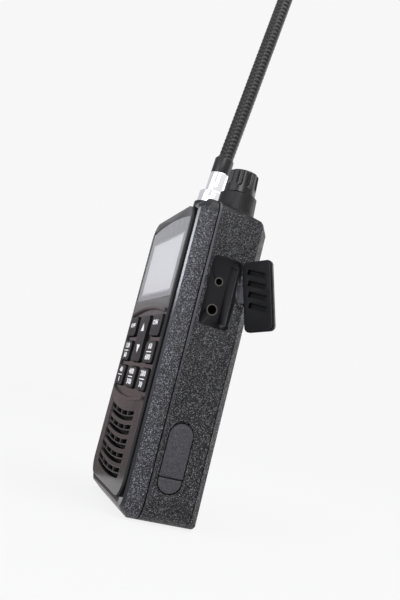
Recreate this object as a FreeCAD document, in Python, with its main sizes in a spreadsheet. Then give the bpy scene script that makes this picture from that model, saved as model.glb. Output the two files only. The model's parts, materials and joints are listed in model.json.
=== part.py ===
import FreeCAD, Part
import os
import re

from FreeCAD import Rotation, Vector

# Handheld two-way radio.  Millimetres.  +Z runs up towards the aerial, -Y is the
# front with the display, +X is the side with the sockets, and the origin is the
# centre of the flat base.

doc = FreeCAD.newDocument("walkie_talkie")
dims = doc.addObject("Spreadsheet::Sheet", "dims")

SIZES = [
    ("case_w", 64.0, "width over the side walls"),
    ("case_h", 122.0, "height of the front edge of the case"),
    ("front_d", 7.0, "depth of the front case"),
    ("side_d", 18.8, "depth of the rear case along its sides"),
    ("body_d", 29.0, "depth of the whole body"),
    ("wall", 2.0, "moulded wall thickness"),
    ("corner_r", 8.0, "lower corner radius seen from the front"),
    ("top_corner_r", 5.0, "upper corner radius seen from the front"),
    ("seam_line_w", 0.5, "width of the shadow line at the seam"),
    ("seam_line_d", 0.4, "depth of the shadow line at the seam"),
    ("seal_in", 0.8, "seal inside the outer face"),
    ("facet_d", 4.0, "depth of the slanted front facet"),
    ("facet_w", 3.2, "width of the slanted front facet"),
    ("top_slope", 10.0, "fall of the top face towards the back, degrees"),
    ("shoulder", 4.3, "drop of the rear shoulder"),
    ("bevel_w", 2.5, "width of the rear edge bevel"),
    ("bevel_d", 3.0, "depth of the rear edge bevel"),
    ("skin", 1.5, "front wall behind the panel"),
    ("fit_gap", 0.3, "clearance round a seated cover"),
    ("slide_gap", 0.2, "clearance round a sliding piece"),
    ("pin_gap", 0.05, "radial clearance of a turning pin"),
    ("panel_w", 55.8, "width of the gloss panel"),
    ("panel_z0", 6.3, "lower edge of the gloss panel"),
    ("panel_top", 3.7, "case top above the gloss panel"),
    ("panel_r", 7.0, "corner radius of the gloss panel"),
    ("panel_proud", 1.4, "gloss panel in front of the case lip"),
    ("panel_seat", 1.6, "depth of the panel pocket"),
    ("lens_w", 52.8, "width of the display lens"),
    ("lens_drop", 8.4, "case top above the lens sides"),
    ("lens_h", 31.6, "height of the lens at its sides"),
    ("lens_rise", 1.9, "rise of the arched lens top"),
    ("lens_t", 1.4, "lens thickness"),
    ("lens_inset", 0.2, "lens face behind the panel face"),
    ("lcd_w", 42.0, "display width"),
    ("lcd_drop", 6.2, "lens top above the display"),
    ("lcd_h", 22.2, "height of the display"),
    ("lcd_t", 2.3, "display cell thickness"),
    ("light_t", 1.0, "back light thickness"),
    ("key_pitch_x", 18.9, "spacing of the key columns"),
    ("key_pitch_z", 10.6, "spacing of the key rows"),
    ("key_rise", 0.6874, "middle key row, as a share of the way from grille to lens"),
    ("key_w", 13.4, "width of a side key"),
    ("key_h", 8.4, "height of a key"),
    ("mid_key_w", 14.6, "width of the centre keys"),
    ("key_r", 1.6, "corner radius of a key"),
    ("key_proud", 0.5, "key face in front of the panel face"),
    ("key_travel", 0.6, "key stroke"),
    ("key_rim", 0.5, "retaining rim round a key"),
    ("mat_t", 1.0, "rubber mat thickness"),
    ("key_pcb_t", 1.0, "key board thickness"),
    ("pcb_t", 1.6, "main board thickness"),
    ("pcb_w", 51.6, "main board width"),
    ("pcb_z0", 5.0, "main board lower edge"),
    ("pcb_drop", 0.4, "inner ceiling above the main board"),
    ("pcb_back", 4.1, "main board back face behind the seam"),
    ("grille_z", 11.3, "lowest grille slit at its middle"),
    ("grille_pitch", 5.4, "spacing of the grille rows"),
    ("grille_rows", 5.0, "rows of the grille"),
    ("grille_half", 19.0, "half length of a grille row"),
    ("grille_r", 120.0, "curve of the grille rows"),
    ("slit_w", 1.65, "width of a grille slit"),
    ("slit_gap", 0.45, "land between the slits of one row"),
    ("spk_z", 22.0, "speaker centre height"),
    ("spk_r", 16.5, "speaker rim radius"),
    ("spk_open_r", 15.0, "speaker opening radius"),
    ("spk_mag_r", 8.0, "speaker magnet radius"),
    ("mesh_t", 0.4, "grille cloth thickness"),
    ("mic_x", -22.0, "microphone from the middle"),
    ("mic_drop", 11.3, "lowest key row above the microphone"),
    ("mic_r", 2.2, "microphone radius"),
    ("screw_r", 1.0, "screw shank radius"),
    ("screw_head_r", 1.9, "screw head radius"),
    ("screw_head_t", 1.4, "screw head height"),
    ("low_screw_x", 22.6, "lower screws from the middle"),
    ("low_screw_z", 9.0, "lower screws above the base"),
    ("top_screw_x", 10.0, "upper screws from the middle"),
    ("top_screw_drop", 10.0, "case top above the upper screws"),
    ("post_r", 2.6, "screw post radius"),
    ("bay_half", 27.0, "half width of the battery bay"),
    ("bay_z0", 4.0, "battery bay lower edge"),
    ("bay_z1", 70.5, "battery bay upper edge"),
    ("bay_floor", 8.5, "battery bay floor behind the seam"),
    ("bay_skin", 1.5, "battery bay floor thickness"),
    ("lid_top", 75.0, "upper edge of the battery lid"),
    ("top_wall", 6.0, "top wall with its slope"),
    ("recess_y0", 2.9, "socket recess front edge behind the seam"),
    ("recess_w", 12.4, "socket recess width"),
    ("recess_z0", 74.0, "socket recess lower edge"),
    ("recess_z1", 101.0, "socket recess upper edge"),
    ("recess_d", 2.8, "socket recess depth"),
    ("recess_r", 2.2, "socket recess corner radius"),
    ("step_d", 1.2, "extra depth of the channel in the recess"),
    ("step_w", 3.8, "width of the channel in the recess"),
    ("jack_y", 8.06, "sockets behind the seam"),
    ("jack_z", 80.8, "height of the large socket"),
    ("jack_pitch", 11.0, "spacing of the two sockets"),
    ("big_bore", 1.8, "bore radius of the large socket"),
    ("big_depth", 14.0, "bore depth of the large socket"),
    ("small_bore", 1.3, "bore radius of the small socket"),
    ("small_depth", 11.5, "bore depth of the small socket"),
    ("jack_tube", 0.4, "wall of a socket tube"),
    ("cover_gap", 0.2, "gap round the socket cover"),
    ("cover_sink", 0.3, "closed cover below the side face"),
    ("cover_plate", 1.4, "cover plate thickness"),
    ("cover_pad", 0.9, "cover sealing pad thickness"),
    ("cover_inset", 0.7, "rim round the sealing pad"),
    ("cover_lean", 8.3, "lean of the cover hinge, degrees"),
    ("cover_open", 132.0, "opening of the cover at rest, degrees"),
    ("hinge_y", 16.9, "cover hinge middle behind the seam"),
    ("hinge_x", 0.15, "cover hinge line below the side face"),
    ("hinge_z", 88.7, "cover hinge middle height"),
    ("knuckle_h", 6.2, "height of the cover knuckle"),
    ("knuckle_r", 1.2, "radius of the cover knuckle"),
    ("hinge_pin_r", 0.5, "radius of the hinge pin"),
    ("usb_z0", 12.0, "data cover lower edge"),
    ("usb_z1", 37.2, "data cover upper edge"),
    ("usb_y", 7.5, "data cover behind the seam"),
    ("usb_w", 9.0, "data cover width"),
    ("usb_t", 1.6, "data cover thickness"),
    ("usb_gap", 0.45, "clearance round the data cover"),
    ("usb_hinge_z", 18.3, "data cover hinge height"),
    ("usb_port_z", 27.5, "data socket height"),
    ("usb_port_h", 7.5, "data socket long side"),
    ("usb_port_t", 2.8, "data socket short side"),
    ("knob_x", 22.0, "volume knob from the middle"),
    ("knob_y", 9.8, "volume knob behind the seam"),
    ("knob_r", 6.4, "knob radius at its foot"),
    ("knob_h", 10.5, "knob height"),
    ("knob_taper", 2.0, "knob side lean, degrees"),
    ("knob_rise", 6.4, "knob foot above the case top"),
    ("flutes", 9.0, "flutes round the knob"),
    ("flute_r", 1.5, "flute radius"),
    ("turret_r", 7.9, "radius of the knob turret at its foot"),
    ("turret_top_r", 7.4, "radius of the knob turret at its rim"),
    ("pot_shaft_r", 3.0, "control shaft radius"),
    ("bush_r", 3.7, "control bush radius"),
    ("aerial_x", -18.0, "aerial from the middle"),
    ("aerial_y", 10.5, "aerial behind the seam at the case top"),
    ("aerial_lean", 3.5, "aerial lean to the back, degrees"),
    ("whip_lean", 6.0, "whip lean to the back, degrees"),
    ("aerial_boss_r", 7.4, "aerial boss radius"),
    ("aerial_boss_h", 10.5, "aerial boss above the case top"),
    ("nut_r", 6.5, "aerial collar radius"),
    ("nut_h", 6.0, "aerial collar height"),
    ("thread_r", 4.0, "aerial socket barrel radius"),
    ("stud_r", 2.0, "aerial stud bore radius"),
    ("couple_r", 4.4, "aerial coupling radius"),
    ("couple_h", 9.6, "aerial coupling height"),
    ("sleeve_h", 8.2, "aerial sleeve height"),
    ("whip_r", 3.5, "whip radius"),
    ("whip_len", 126.0, "whip length"),
    ("wire_r", 0.7, "aerial wire radius"),
    ("ptt_w", 9.0, "talk key width"),
    ("ptt_z0", 76.0, "talk key lower edge"),
    ("ptt_z1", 101.0, "talk key upper edge"),
    ("ptt_proud", 1.0, "talk key proud of the side"),
    ("ptt_travel", 0.8, "talk key stroke"),
    ("latch_half", 7.0, "half width of the battery latch"),
    ("latch_travel", 2.6, "stroke of the battery latch"),
    ("clip_pitch", 26.0, "spacing of the belt clip inserts"),
    ("clip_drop", 26.0, "case top above the belt clip inserts"),
    ("insert_r", 2.6, "belt clip insert radius"),
    ("insert_bore", 1.5, "belt clip insert bore radius"),
]

FORMULAS = [
    ("ceiling", "=case_h - top_wall", "underside of the top wall"),
    ("lens_z1", "=case_h - lens_drop", "lens height at its sides"),
    ("lens_z0", "=lens_z1 - lens_h", "lower edge of the lens"),
    ("lcd_z1", "=lens_z1 - lcd_drop", "display upper edge"),
    ("lcd_z0", "=lcd_z1 - lcd_h", "display lower edge"),
    ("key_mid_z", "=grille_z + (lens_z0 - grille_z) * key_rise", "middle key row"),
    ("pcb_z1", "=ceiling - pcb_drop", "main board upper edge"),
    ("top_screw_z", "=case_h - top_screw_drop", "upper screws above the base"),
    ("knob_z", "=case_h + knob_rise", "knob foot height"),
    ("clip_z", "=case_h - clip_drop", "height of the belt clip inserts"),
    ("mic_z", "=key_mid_z - key_pitch_z - mic_drop", "microphone above the base"),
    ("pot_z0", "=recess_z1 + (ceiling - recess_z1) * 0.4", "underside of the volume control"),
    ("front_y", "=-body_d / 2", "front lip of the case"),
    ("seam_y", "=front_y + front_d", "seam between the two halves"),
    ("side_y", "=seam_y + side_d", "rear end of the side walls"),
    ("back_y", "=body_d / 2", "rear face"),
    ("half_w", "=case_w / 2", "side face"),
    ("seat_y", "=front_y + panel_seat", "floor of the panel pocket"),
    ("inner_y", "=seat_y + skin", "inside of the front wall"),
    ("panel_y", "=front_y - panel_proud", "face of the gloss panel"),
    ("panel_z1", "=case_h - panel_top", "upper edge of the gloss panel"),
    ("lens_y", "=panel_y + lens_inset", "face of the lens"),
    ("lens_back", "=lens_y + lens_t", "back of the lens"),
    ("board_back", "=seam_y + pcb_back", "back of the main board"),
    ("board_y", "=board_back - pcb_t", "front of the main board"),
    ("bay_y", "=seam_y + bay_floor", "battery bay floor"),
    ("bay_in", "=bay_y - bay_skin", "inside of the battery bay floor"),
    ("floor_x", "=half_w - recess_d", "floor of the socket recess"),
    ("jack_cy", "=seam_y + jack_y", "socket line"),
    ("recess_a", "=seam_y + recess_y0", "front edge of the socket recess"),
    ("recess_b", "=recess_a + recess_w", "rear edge of the socket recess"),
    ("backing_x", "=floor_x - step_d - wall", "inside of the recess backing"),
    ("knob_cy", "=seam_y + knob_y", "knob axis"),
    ("rim_z", "=knob_z - 0.4", "top of the knob turret"),
    ("aerial_cy", "=seam_y + aerial_y", "aerial axis at the case top"),
    ("axis_x", "=half_w - hinge_x", "cover hinge line"),
    ("usb_x", "=half_w - usb_t", "floor of the data cover pocket"),
    ("usb_r", "=usb_w / 2", "end radius of the data cover"),
    ("usb_cy", "=seam_y + usb_y", "data cover middle"),
    ("port_y", "=board_back + usb_port_t / 2", "data socket middle"),
    ("hinge_cy", "=seam_y + hinge_y", "cover hinge middle"),
    ("head_y", "=bay_y - screw_head_t", "seat of the screw heads"),
    ("mat_back", "=inner_y + mat_t", "back of the rubber mat"),
    ("keypcb_back", "=mat_back + key_pcb_t", "back of the key board"),
]

NAMES = set()
for row, (alias, value, note) in enumerate(SIZES + FORMULAS, start=2):
    dims.set("A%d" % row, note)
    dims.set("B%d" % row, str(value))
    dims.setAlias("B%d" % row, alias)
    NAMES.add(alias)
doc.recompute()

WORD = re.compile(r"(?<![\w.])([a-z_][a-z0-9_]*)(?![\w.(])")


def linked(text):
    """Write an expression with every size named in the sheet linked to it."""
    def link(match):
        word = match.group(1)
        return "dims." + word if word in NAMES else word
    return WORD.sub(link, str(text))


def tie(obj, prop, text):
    """Bind one property to an expression of named sizes."""
    obj.setExpression(prop, linked(text))


def number(text):
    """Present value of an expression of named sizes."""
    return float(dims.evalExpression(linked(text)))


def put(obj, x, y, z, axis=None, angle=None):
    """Place an object at named coordinates, turned about a fixed axis."""
    if axis is not None:
        turn = Rotation(Vector(*axis), number(angle))
        obj.Placement = FreeCAD.Placement(Vector(0, 0, 0), turn)
        tie(obj, "Placement.Rotation.Angle", angle)
    tie(obj, "Placement.Base.x", x)
    tie(obj, "Placement.Base.y", y)
    tie(obj, "Placement.Base.z", z)
    return obj


def box(name, x0, x1, y0, y1, z0, z1):
    """Block between named coordinates."""
    obj = doc.addObject("Part::Box", name)
    tie(obj, "Length", "(%s) - (%s)" % (x1, x0))
    tie(obj, "Width", "(%s) - (%s)" % (y1, y0))
    tie(obj, "Height", "(%s) - (%s)" % (z1, z0))
    return put(obj, x0, y0, z0)


TURN = {"X": ((0, 1, 0), 90), "Y": ((-1, 0, 0), 90), "Z": (None, None)}


def along(obj, axis, a, b, start):
    """Lay an object's own axis along X, Y or Z; a, b are the other two places."""
    spot = {"X": (start, a, b), "Y": (a, start, b), "Z": (a, b, start)}[axis]
    turn, angle = TURN[axis]
    return put(obj, *spot, axis=turn, angle=angle)


def cyl(name, axis, a, b, start, end, radius):
    """Cylinder along X, Y or Z between named coordinates."""
    obj = doc.addObject("Part::Cylinder", name)
    tie(obj, "Radius", radius)
    tie(obj, "Height", "(%s) - (%s)" % (end, start))
    return along(obj, axis, a, b, start)


def cone(name, axis, a, b, start, end, r0, r1):
    """Cone frustum along X, Y or Z between named coordinates."""
    obj = doc.addObject("Part::Cone", name)
    tie(obj, "Radius1", r0)
    tie(obj, "Radius2", r1)
    tie(obj, "Height", "(%s) - (%s)" % (end, start))
    return along(obj, axis, a, b, start)


def fuse(name, *shapes):
    """Join pieces into one."""
    obj = doc.addObject("Part::MultiFuse", name)
    obj.Shapes = list(shapes)
    obj.Refine = True
    return obj


def cut(name, base, *tools):
    """Take tools away from a base."""
    obj = doc.addObject("Part::Cut", name)
    obj.Base = base
    obj.Tool = tools[0] if len(tools) == 1 else fuse(name + "_tools", *tools)
    obj.Refine = True
    return obj


def common(name, *shapes):
    """Keep what pieces share."""
    obj = doc.addObject("Part::MultiCommon", name)
    obj.Shapes = list(shapes)
    obj.Refine = True
    return obj


def group(name, *shapes):
    """Keep separate identical solids together as one node."""
    obj = doc.addObject("Part::Compound", name)
    obj.Links = list(shapes)
    return obj


PLANES = {"XY": "XY_Plane", "XZ": "XZ_Plane", "YZ": "YZ_Plane"}


def sketch_in(body, plane, place):
    """Sketch on one of the body's own planes, moved to a named place."""
    base = [f for f in body.Origin.OriginFeatures if f.Role == PLANES[plane]][0]
    sketch = body.newObject("Sketcher::SketchObject", body.Name + "_sketch")
    sketch.AttachmentSupport = [(base, "")]
    sketch.MapMode = "FlatFace"
    sign = "-" if plane == "XZ" else ""
    tie(sketch, "AttachmentOffset.Base.z", "%s(%s)" % (sign, place))
    return sketch


def pin_point(sketch, index, end, u, v):
    """Fix one point of a sketch at named coordinates."""
    import Sketcher
    for kind, text in (("DistanceX", u), ("DistanceY", v)):
        here = sketch.addConstraint(
            Sketcher.Constraint(kind, -1, 1, index, end, number(text)))
        tie(sketch, "Constraints[%d]" % here, text)


def pad(body, sketch, lo, hi, taper=None):
    """Thicken a sketch between two named places."""
    feature = body.newObject("PartDesign::Pad", body.Name + "_pad")
    feature.Profile = sketch
    tie(feature, "Length", "(%s) - (%s)" % (hi, lo))
    if taper is not None:
        tie(feature, "TaperAngle", taper)
    sketch.Visibility = False
    body.Tip = feature
    return body


def poly(name, plane, points, lo, hi):
    """Prism on a polygon of named corners."""
    import Sketcher
    body = doc.addObject("PartDesign::Body", name)
    sketch = sketch_in(body, plane, hi if plane == "XZ" else lo)
    spots = [Vector(number(u), number(v), 0) for u, v in points]
    count = len(spots)
    for i in range(count):
        sketch.addGeometry(Part.LineSegment(spots[i], spots[(i + 1) % count]), False)
    for i in range(count):
        sketch.addConstraint(Sketcher.Constraint("Coincident", i, 2, (i + 1) % count, 1))
    for i, (u, v) in enumerate(points):
        pin_point(sketch, i, 1, u, v)
    return pad(body, sketch, lo, hi)


def rounded(name, plane, u0, u1, v0, v1, radius, lo, hi, taper=None, upper=None):
    """Prism on a rectangle with rounded corners, the upper two with their own radius."""
    import math
    import Sketcher
    body = doc.addObject("PartDesign::Body", name)
    sketch = sketch_in(body, plane, hi if plane == "XZ" else lo)
    upper = upper or radius
    a, b, c, d, r, t = (number(t) for t in (u0, u1, v0, v1, radius, upper))
    lines = [((a + r, c), (b - r, c)), ((b, c + r), (b, d - t)),
             ((b - t, d), (a + t, d)), ((a, d - t), (a, c + r))]
    for p, q in lines:
        sketch.addGeometry(Part.LineSegment(Vector(*p, 0), Vector(*q, 0)), False)
    middles = [(b - r, c + r, r), (b - t, d - t, t), (a + t, d - t, t), (a + r, c + r, r)]
    for turn, (u, v, size) in enumerate(middles):
        circle = Part.Circle(Vector(u, v, 0), Vector(0, 0, 1), size)
        first = (turn - 1) * math.pi / 2
        sketch.addGeometry(Part.ArcOfCircle(circle, first, first + math.pi / 2), False)
    for i in range(4):
        sketch.addConstraint(Sketcher.Constraint("Tangent", i, 2, 4 + i, 1))
        sketch.addConstraint(Sketcher.Constraint("Tangent", 4 + i, 2, (i + 1) % 4, 1))
        flat = "Horizontal" if i % 2 == 0 else "Vertical"
        sketch.addConstraint(Sketcher.Constraint(flat, i))
    sketch.addConstraint(Sketcher.Constraint("Equal", 4, 7))
    sketch.addConstraint(Sketcher.Constraint("Equal", 5, 6))
    for arc, text in ((4, radius), (5, upper)):
        here = sketch.addConstraint(Sketcher.Constraint("Radius", arc, number(text)))
        tie(sketch, "Constraints[%d]" % here, text)
    for kind, line, text in (("DistanceX", 3, u0), ("DistanceX", 1, u1),
                             ("DistanceY", 0, v0), ("DistanceY", 2, v1)):
        here = sketch.addConstraint(
            Sketcher.Constraint(kind, -1, 1, line, 1, number(text)))
        tie(sketch, "Constraints[%d]" % here, text)
    return pad(body, sketch, lo, hi, taper)


def stadium(name, x0, x1, y, z0, z1, radius):
    """Flat-sided bar with round ends, long in Z, thick along X."""
    low = "(%s) + (%s)" % (z0, radius)
    high = "(%s) - (%s)" % (z1, radius)
    return fuse(name,
                box(name + "_middle", x0, x1, "(%s) - (%s)" % (y, radius),
                    "(%s) + (%s)" % (y, radius), low, high),
                cyl(name + "_foot", "X", y, low, x0, x1, radius),
                cyl(name + "_head", "X", y, high, x0, x1, radius))


NODES = []


def node(label, obj):
    """Give a finished piece its name."""
    obj.Label = label
    NODES.append(obj)
    return obj


# ---------------------------------------------------------------- front case

SCREWS = [("-low_screw_x", "low_screw_z"), ("low_screw_x", "low_screw_z"),
          ("-top_screw_x", "top_screw_z"), ("top_screw_x", "top_screw_z")]


def outline(name, lo, hi, less="0", taper=None):
    """Case outline, drawn in by a named distance."""
    return rounded(name, "XZ", "-half_w + (%s)" % less, "half_w - (%s)" % less, less,
                   "case_h - (%s)" % less, "corner_r - (%s)" % less, lo, hi, taper,
                   "top_corner_r - (%s)" % less)


def panel_outline(name, lo, hi, more="0"):
    """Gloss panel outline, let out by a named distance."""
    return rounded(name, "XZ", "-panel_w / 2 - (%s)" % more, "panel_w / 2 + (%s)" % more,
                   "panel_z0 - (%s)" % more, "panel_z1 + (%s)" % more,
                   "panel_r + (%s)" % more, lo, hi)


def lcd_box(name, more, lo, hi):
    """Block behind the display, let out by a named distance."""
    return box(name, "-lcd_w / 2 - (%s)" % more, "lcd_w / 2 + (%s)" % more, lo, hi,
               "lcd_z0 - (%s)" % more, "lcd_z1 + (%s)" % more)


KEYPAD_X = "key_pitch_x + key_w / 2"
KEYPAD_Z = "key_pitch_z + key_h / 2"


def keypad_box(name, more, lo, hi):
    """Block behind the keys, let out by a named distance."""
    return box(name, "-(%s) - %s" % (KEYPAD_X, more), KEYPAD_X + " + %s" % more, lo, hi,
               "key_mid_z - (%s) - %s" % (KEYPAD_Z, more),
               "key_mid_z + %s + %s" % (KEYPAD_Z, more))


def posts(name, radius, lo, hi):
    """Four round posts or bores on the screw axes."""
    return [cyl("%s_%d" % (name, i), "Y", x, z, lo, hi, radius)
            for i, (x, z) in enumerate(SCREWS)]


front_shell = fuse("front_shell",
                   outline("front_back", "front_y + facet_d", "seam_y"),
                   outline("front_slant", "front_y", "front_y + facet_d",
                           taper="-atan(facet_w / facet_d)"))
front_hollow = cut("front_hollow", front_shell,
                   panel_outline("panel_pocket", "front_y - 1", "seat_y", "fit_gap"),
                   outline("front_inside", "inner_y", "seam_y", "wall"),
                   lcd_box("display_window", "0.8", "seat_y - 1", "inner_y + 1"),
                   keypad_box("key_window", "1", "seat_y - 1", "inner_y + 1"),
                   cyl("speaker_window", "Y", "0", "spk_z", "seat_y - 1",
                       "inner_y + 1", "spk_open_r"),
                   cyl("sound_hole", "Y", "mic_x", "mic_z", "seat_y - 1",
                       "inner_y + 1", "mic_r / 2.5"))
front_case = cut("front_case", fuse("front_bossed", front_hollow,
                                    *posts("front_boss", "post_r", "inner_y", "board_y")),
                 *posts("front_bore", "screw_r", "inner_y + 1", "board_y"))
node("front_case", front_case)

# ---------------------------------------------------------------- gloss panel


def lens_shape(name, lo, hi):
    """Arched outline of the display lens."""
    reach = "((lens_w / 2) ^ 2 + lens_rise ^ 2) / (2 * lens_rise)"
    plate = rounded(name + "_plate", "XZ", "-lens_w / 2", "lens_w / 2", "lens_z0",
                    "lens_z1 + lens_rise + 1", "0.9", lo, hi)
    arch = cyl(name + "_arch", "Y", "0", "lens_z1 + lens_rise - " + reach, lo, hi, reach)
    return common(name, plate, arch)


def band(name, middle_z, radius, width, lo, hi, gate, upward=True):
    """Curved bar on an arc through a named height on the centre line."""
    centre = ("%s + %s" if upward else "%s - %s") % (middle_z, radius)
    ring = cut(name + "_ring",
               cyl(name + "_outer", "Y", "0", centre, lo, hi,
                   "%s + %s / 2" % (radius, width)),
               cyl(name + "_inner", "Y", "0", centre, lo + " - 1", hi + " + 1",
                   "%s - %s / 2" % (radius, width)))
    return common(name, ring, gate)


def row_gate(name, x0, x1, middle_z, lo, hi):
    """Block that keeps one piece of a curved bar."""
    return box(name, x0, x1, lo, hi, "%s - 3" % middle_z, "%s + 6" % middle_z)


ridges = []
for word, height, upward in (("upper", "key_mid_z + 18.7", False),
                             ("lower", "key_mid_z - 19.5", True)):
    gate = row_gate(word + "_ridge_gate", "-panel_w / 2 + 2.4", "panel_w / 2 - 2.4",
                    height, "panel_y - 0.4", "panel_y + 1")
    ridges.append(band(word + "_ridge", height, "key_pitch_x * 7.4", "1.3",
                       "panel_y - 0.4", "panel_y + 1", gate, upward))

slits = []
for i in range(int(number("grille_rows"))):
    low = "grille_z + %d * grille_pitch" % i
    high = low + " + slit_w + slit_gap"
    gate = row_gate("slit_gate_%d" % i, "-grille_half", "grille_half", low,
                    "panel_y - 1", "seat_y + 1")
    slits.append(band("slit_%d" % i, low, "grille_r", "slit_w",
                      "panel_y - 1", "seat_y + 1", gate))
    for j in range(4):
        left = "-grille_half - 1 + %d * (grille_half + 1) / 2" % j
        right = left + " + (grille_half + 1) / 2 - 1.2"
        gate = row_gate("dash_gate_%d_%d" % (i, j), left, right, low,
                        "panel_y - 1", "seat_y + 1")
        slits.append(band("dash_%d_%d" % (i, j), high, "grille_r", "slit_w",
                          "panel_y - 1", "seat_y + 1", gate))

# Keys: name, column, row, width; the tall centre key rocks over two rows.
KEYS = []
for row, z in enumerate(("key_mid_z + key_pitch_z", "key_mid_z",
                         "key_mid_z - key_pitch_z")):
    for word, x, width in (("left", "-key_pitch_x", "key_w"),
                           ("mid", "0", "mid_key_w"), ("right", "key_pitch_x", "key_w")):
        if word == "mid" and row < 2:
            continue
        KEYS.append(("key_%s_%d" % (word, row + 1), x, z, width, "key_h"))
ROCKER = ("key_rocker", "0", "key_mid_z + key_pitch_z / 2", "mid_key_w",
          "key_h + key_pitch_z")


def key_shape(name, key, more, lo, hi):
    """Rounded outline of one key, let out by a named distance."""
    _, x, z, width, height = key
    return rounded(name, "XZ", "%s - (%s) / 2 - %s" % (x, width, more),
                   "%s + (%s) / 2 + %s" % (x, width, more),
                   "%s - (%s) / 2 - %s" % (z, height, more),
                   "%s + (%s) / 2 + %s" % (z, height, more),
                   "key_r + %s" % more, lo, hi)


panel_solid = fuse("panel_solid", panel_outline("panel_plate", "panel_y", "seat_y"),
                   *ridges)
front_panel = cut("front_panel", panel_solid,
                  lens_shape("lens_pocket", "panel_y - 1", "lens_back"),
                  lcd_box("panel_window", "0.8", "lens_back - 0.5", "seat_y + 1"),
                  cyl("panel_sound_hole", "Y", "mic_x", "mic_z", "panel_y - 1",
                      "seat_y + 1", "mic_r / 4"),
                  *([key_shape(k[0] + "_hole", k, "fit_gap", "panel_y - 1",
                               "seat_y + 1") for k in KEYS + [ROCKER]] + slits))
node("front_panel", front_panel)
node("display_lens", lens_shape("display_lens", "lens_y", "lens_back"))
node("display_module", lcd_box("display_module", "0.5", "lens_back",
                               "lens_back + lcd_t"))
node("back_light", lcd_box("back_light", "0.2", "lens_back + lcd_t",
                           "lens_back + lcd_t + light_t"))
display_frame = cut("display_frame",
                    lcd_box("frame_block", "1.7", "inner_y", "board_y"),
                    lcd_box("frame_front", "0.5", "inner_y - 1",
                            "lens_back + lcd_t + light_t"),
                    lcd_box("frame_rear", "0.5",
                            "lens_back + lcd_t + light_t + 1", "board_y + 1"))
node("display_frame", display_frame)

# ---------------------------------------------------------------- keys and board

for key in KEYS:
    cap = key_shape(key[0] + "_cap", key, "0", "panel_y - key_proud", "seat_y + 0.2")
    rim = key_shape(key[0] + "_rim", key, "key_rim", "seat_y + 0.1",
                    "inner_y - key_travel")
    node(key[0], fuse(key[0], cap, rim))

rocker_cap = key_shape("rocker_cap", ROCKER, "0", "panel_y - key_proud", "seat_y + 1")
waist_reach = "30"
waists = []
for word, side in (("left", "-"), ("right", "")):
    spot = "%s(mid_key_w / 2 + %s - 0.9)" % (side, waist_reach)
    waists.append(cyl("rocker_waist_" + word, "Y", spot, ROCKER[2],
                      "panel_y - 2", "panel_y + 1.2", waist_reach))
rocker_rim = key_shape("rocker_rim", ROCKER, "key_rim", "seat_y + 0.5",
                       "inner_y - 0.4")
node("key_rocker", fuse("key_rocker", cut("rocker_top", rocker_cap, *waists),
                        rocker_rim))

node("keypad_mat", keypad_box("keypad_mat", "2", "inner_y", "mat_back"))
node("key_board", keypad_box("key_board", "2", "mat_back", "keypcb_back"))
node("board_link", box("board_link", "-6", "6", "keypcb_back", "board_y",
                       "key_mid_z - 2", "key_mid_z + 2"))
node("main_board", cut("main_board",
                       box("board_sheet", "-pcb_w / 2", "pcb_w / 2", "board_y",
                           "board_back", "pcb_z0", "pcb_z1"),
                       *posts("board_hole", "screw_r + 0.2", "board_y - 1",
                              "board_back + 1")))
shield_block = box("shield_block", "-20", "14", "board_back", "board_back + 2.2",
                   "18", "54")
node("rf_shield", cut("rf_shield", shield_block,
                      box("shield_inside", "-19.7", "13.7", "board_back - 1",
                          "board_back + 1.9", "18.3", "53.7")))

# ---------------------------------------------------------------- speaker

rim_end = "inner_y + 1.6"
basket_end = "board_y - 2"
speaker_frame = cut("speaker_frame",
                    fuse("speaker_body",
                         cyl("speaker_rim", "Y", "0", "spk_z", "inner_y", rim_end,
                             "spk_r"),
                         cone("speaker_basket", "Y", "0", "spk_z", rim_end, basket_end,
                              "spk_r - 1", "spk_mag_r + 1.5")),
                    cyl("speaker_throat", "Y", "0", "spk_z", "inner_y - 1",
                        rim_end, "spk_r - 2.6"),
                    cone("speaker_hollow", "Y", "0", "spk_z", rim_end,
                         basket_end + " - 0.8", "spk_r - 2.6", "spk_mag_r"))
node("speaker_frame", speaker_frame)
cone_front = cone("cone_front", "Y", "0", "spk_z", "inner_y + 0.2", "inner_y + 2.4",
                  "spk_r - 2.8", "4")
cone_hollow = cone("cone_hollow", "Y", "0", "spk_z", "inner_y - 0.3", "inner_y + 1.9",
                   "spk_r - 2.8", "4")
coil = cyl("voice_coil", "Y", "0", "spk_z", "inner_y + 1.9", basket_end + " - 0.8", "3.6")
node("speaker_cone", fuse("speaker_cone", cut("cone_sheet", cone_front, cone_hollow),
                          coil))
node("speaker_magnet", cyl("speaker_magnet", "Y", "0", "spk_z", basket_end, "board_y",
                           "spk_mag_r"))
node("speaker_mesh", cyl("speaker_mesh", "Y", "0", "spk_z", "seat_y",
                         "seat_y + mesh_t", "spk_open_r - 0.2"))
node("microphone", cyl("microphone", "Y", "mic_x", "mic_z", "inner_y",
                       "inner_y + 1.8", "mic_r"))

# ---------------------------------------------------------------- rear case

LID_Y = "side_y + slide_gap"
BIG_Z = "jack_z"
SMALL_Z = "jack_z + jack_pitch"


def stem(name, start, end, r0, r1=None):
    """Round piece on the leaning aerial axis; lengths run from the case top."""
    kind = "Part::Cylinder" if r1 is None else "Part::Cone"
    obj = doc.addObject(kind, name)
    if r1 is None:
        tie(obj, "Radius", r0)
    else:
        tie(obj, "Radius1", r0)
        tie(obj, "Radius2", r1)
    tie(obj, "Height", "(%s) - (%s)" % (end, start))
    return put(obj, "aerial_x", "aerial_cy + (%s) * sin(aerial_lean)" % start,
               "case_h + (%s) * cos(aerial_lean)" % start, (-1, 0, 0), "aerial_lean")


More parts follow.
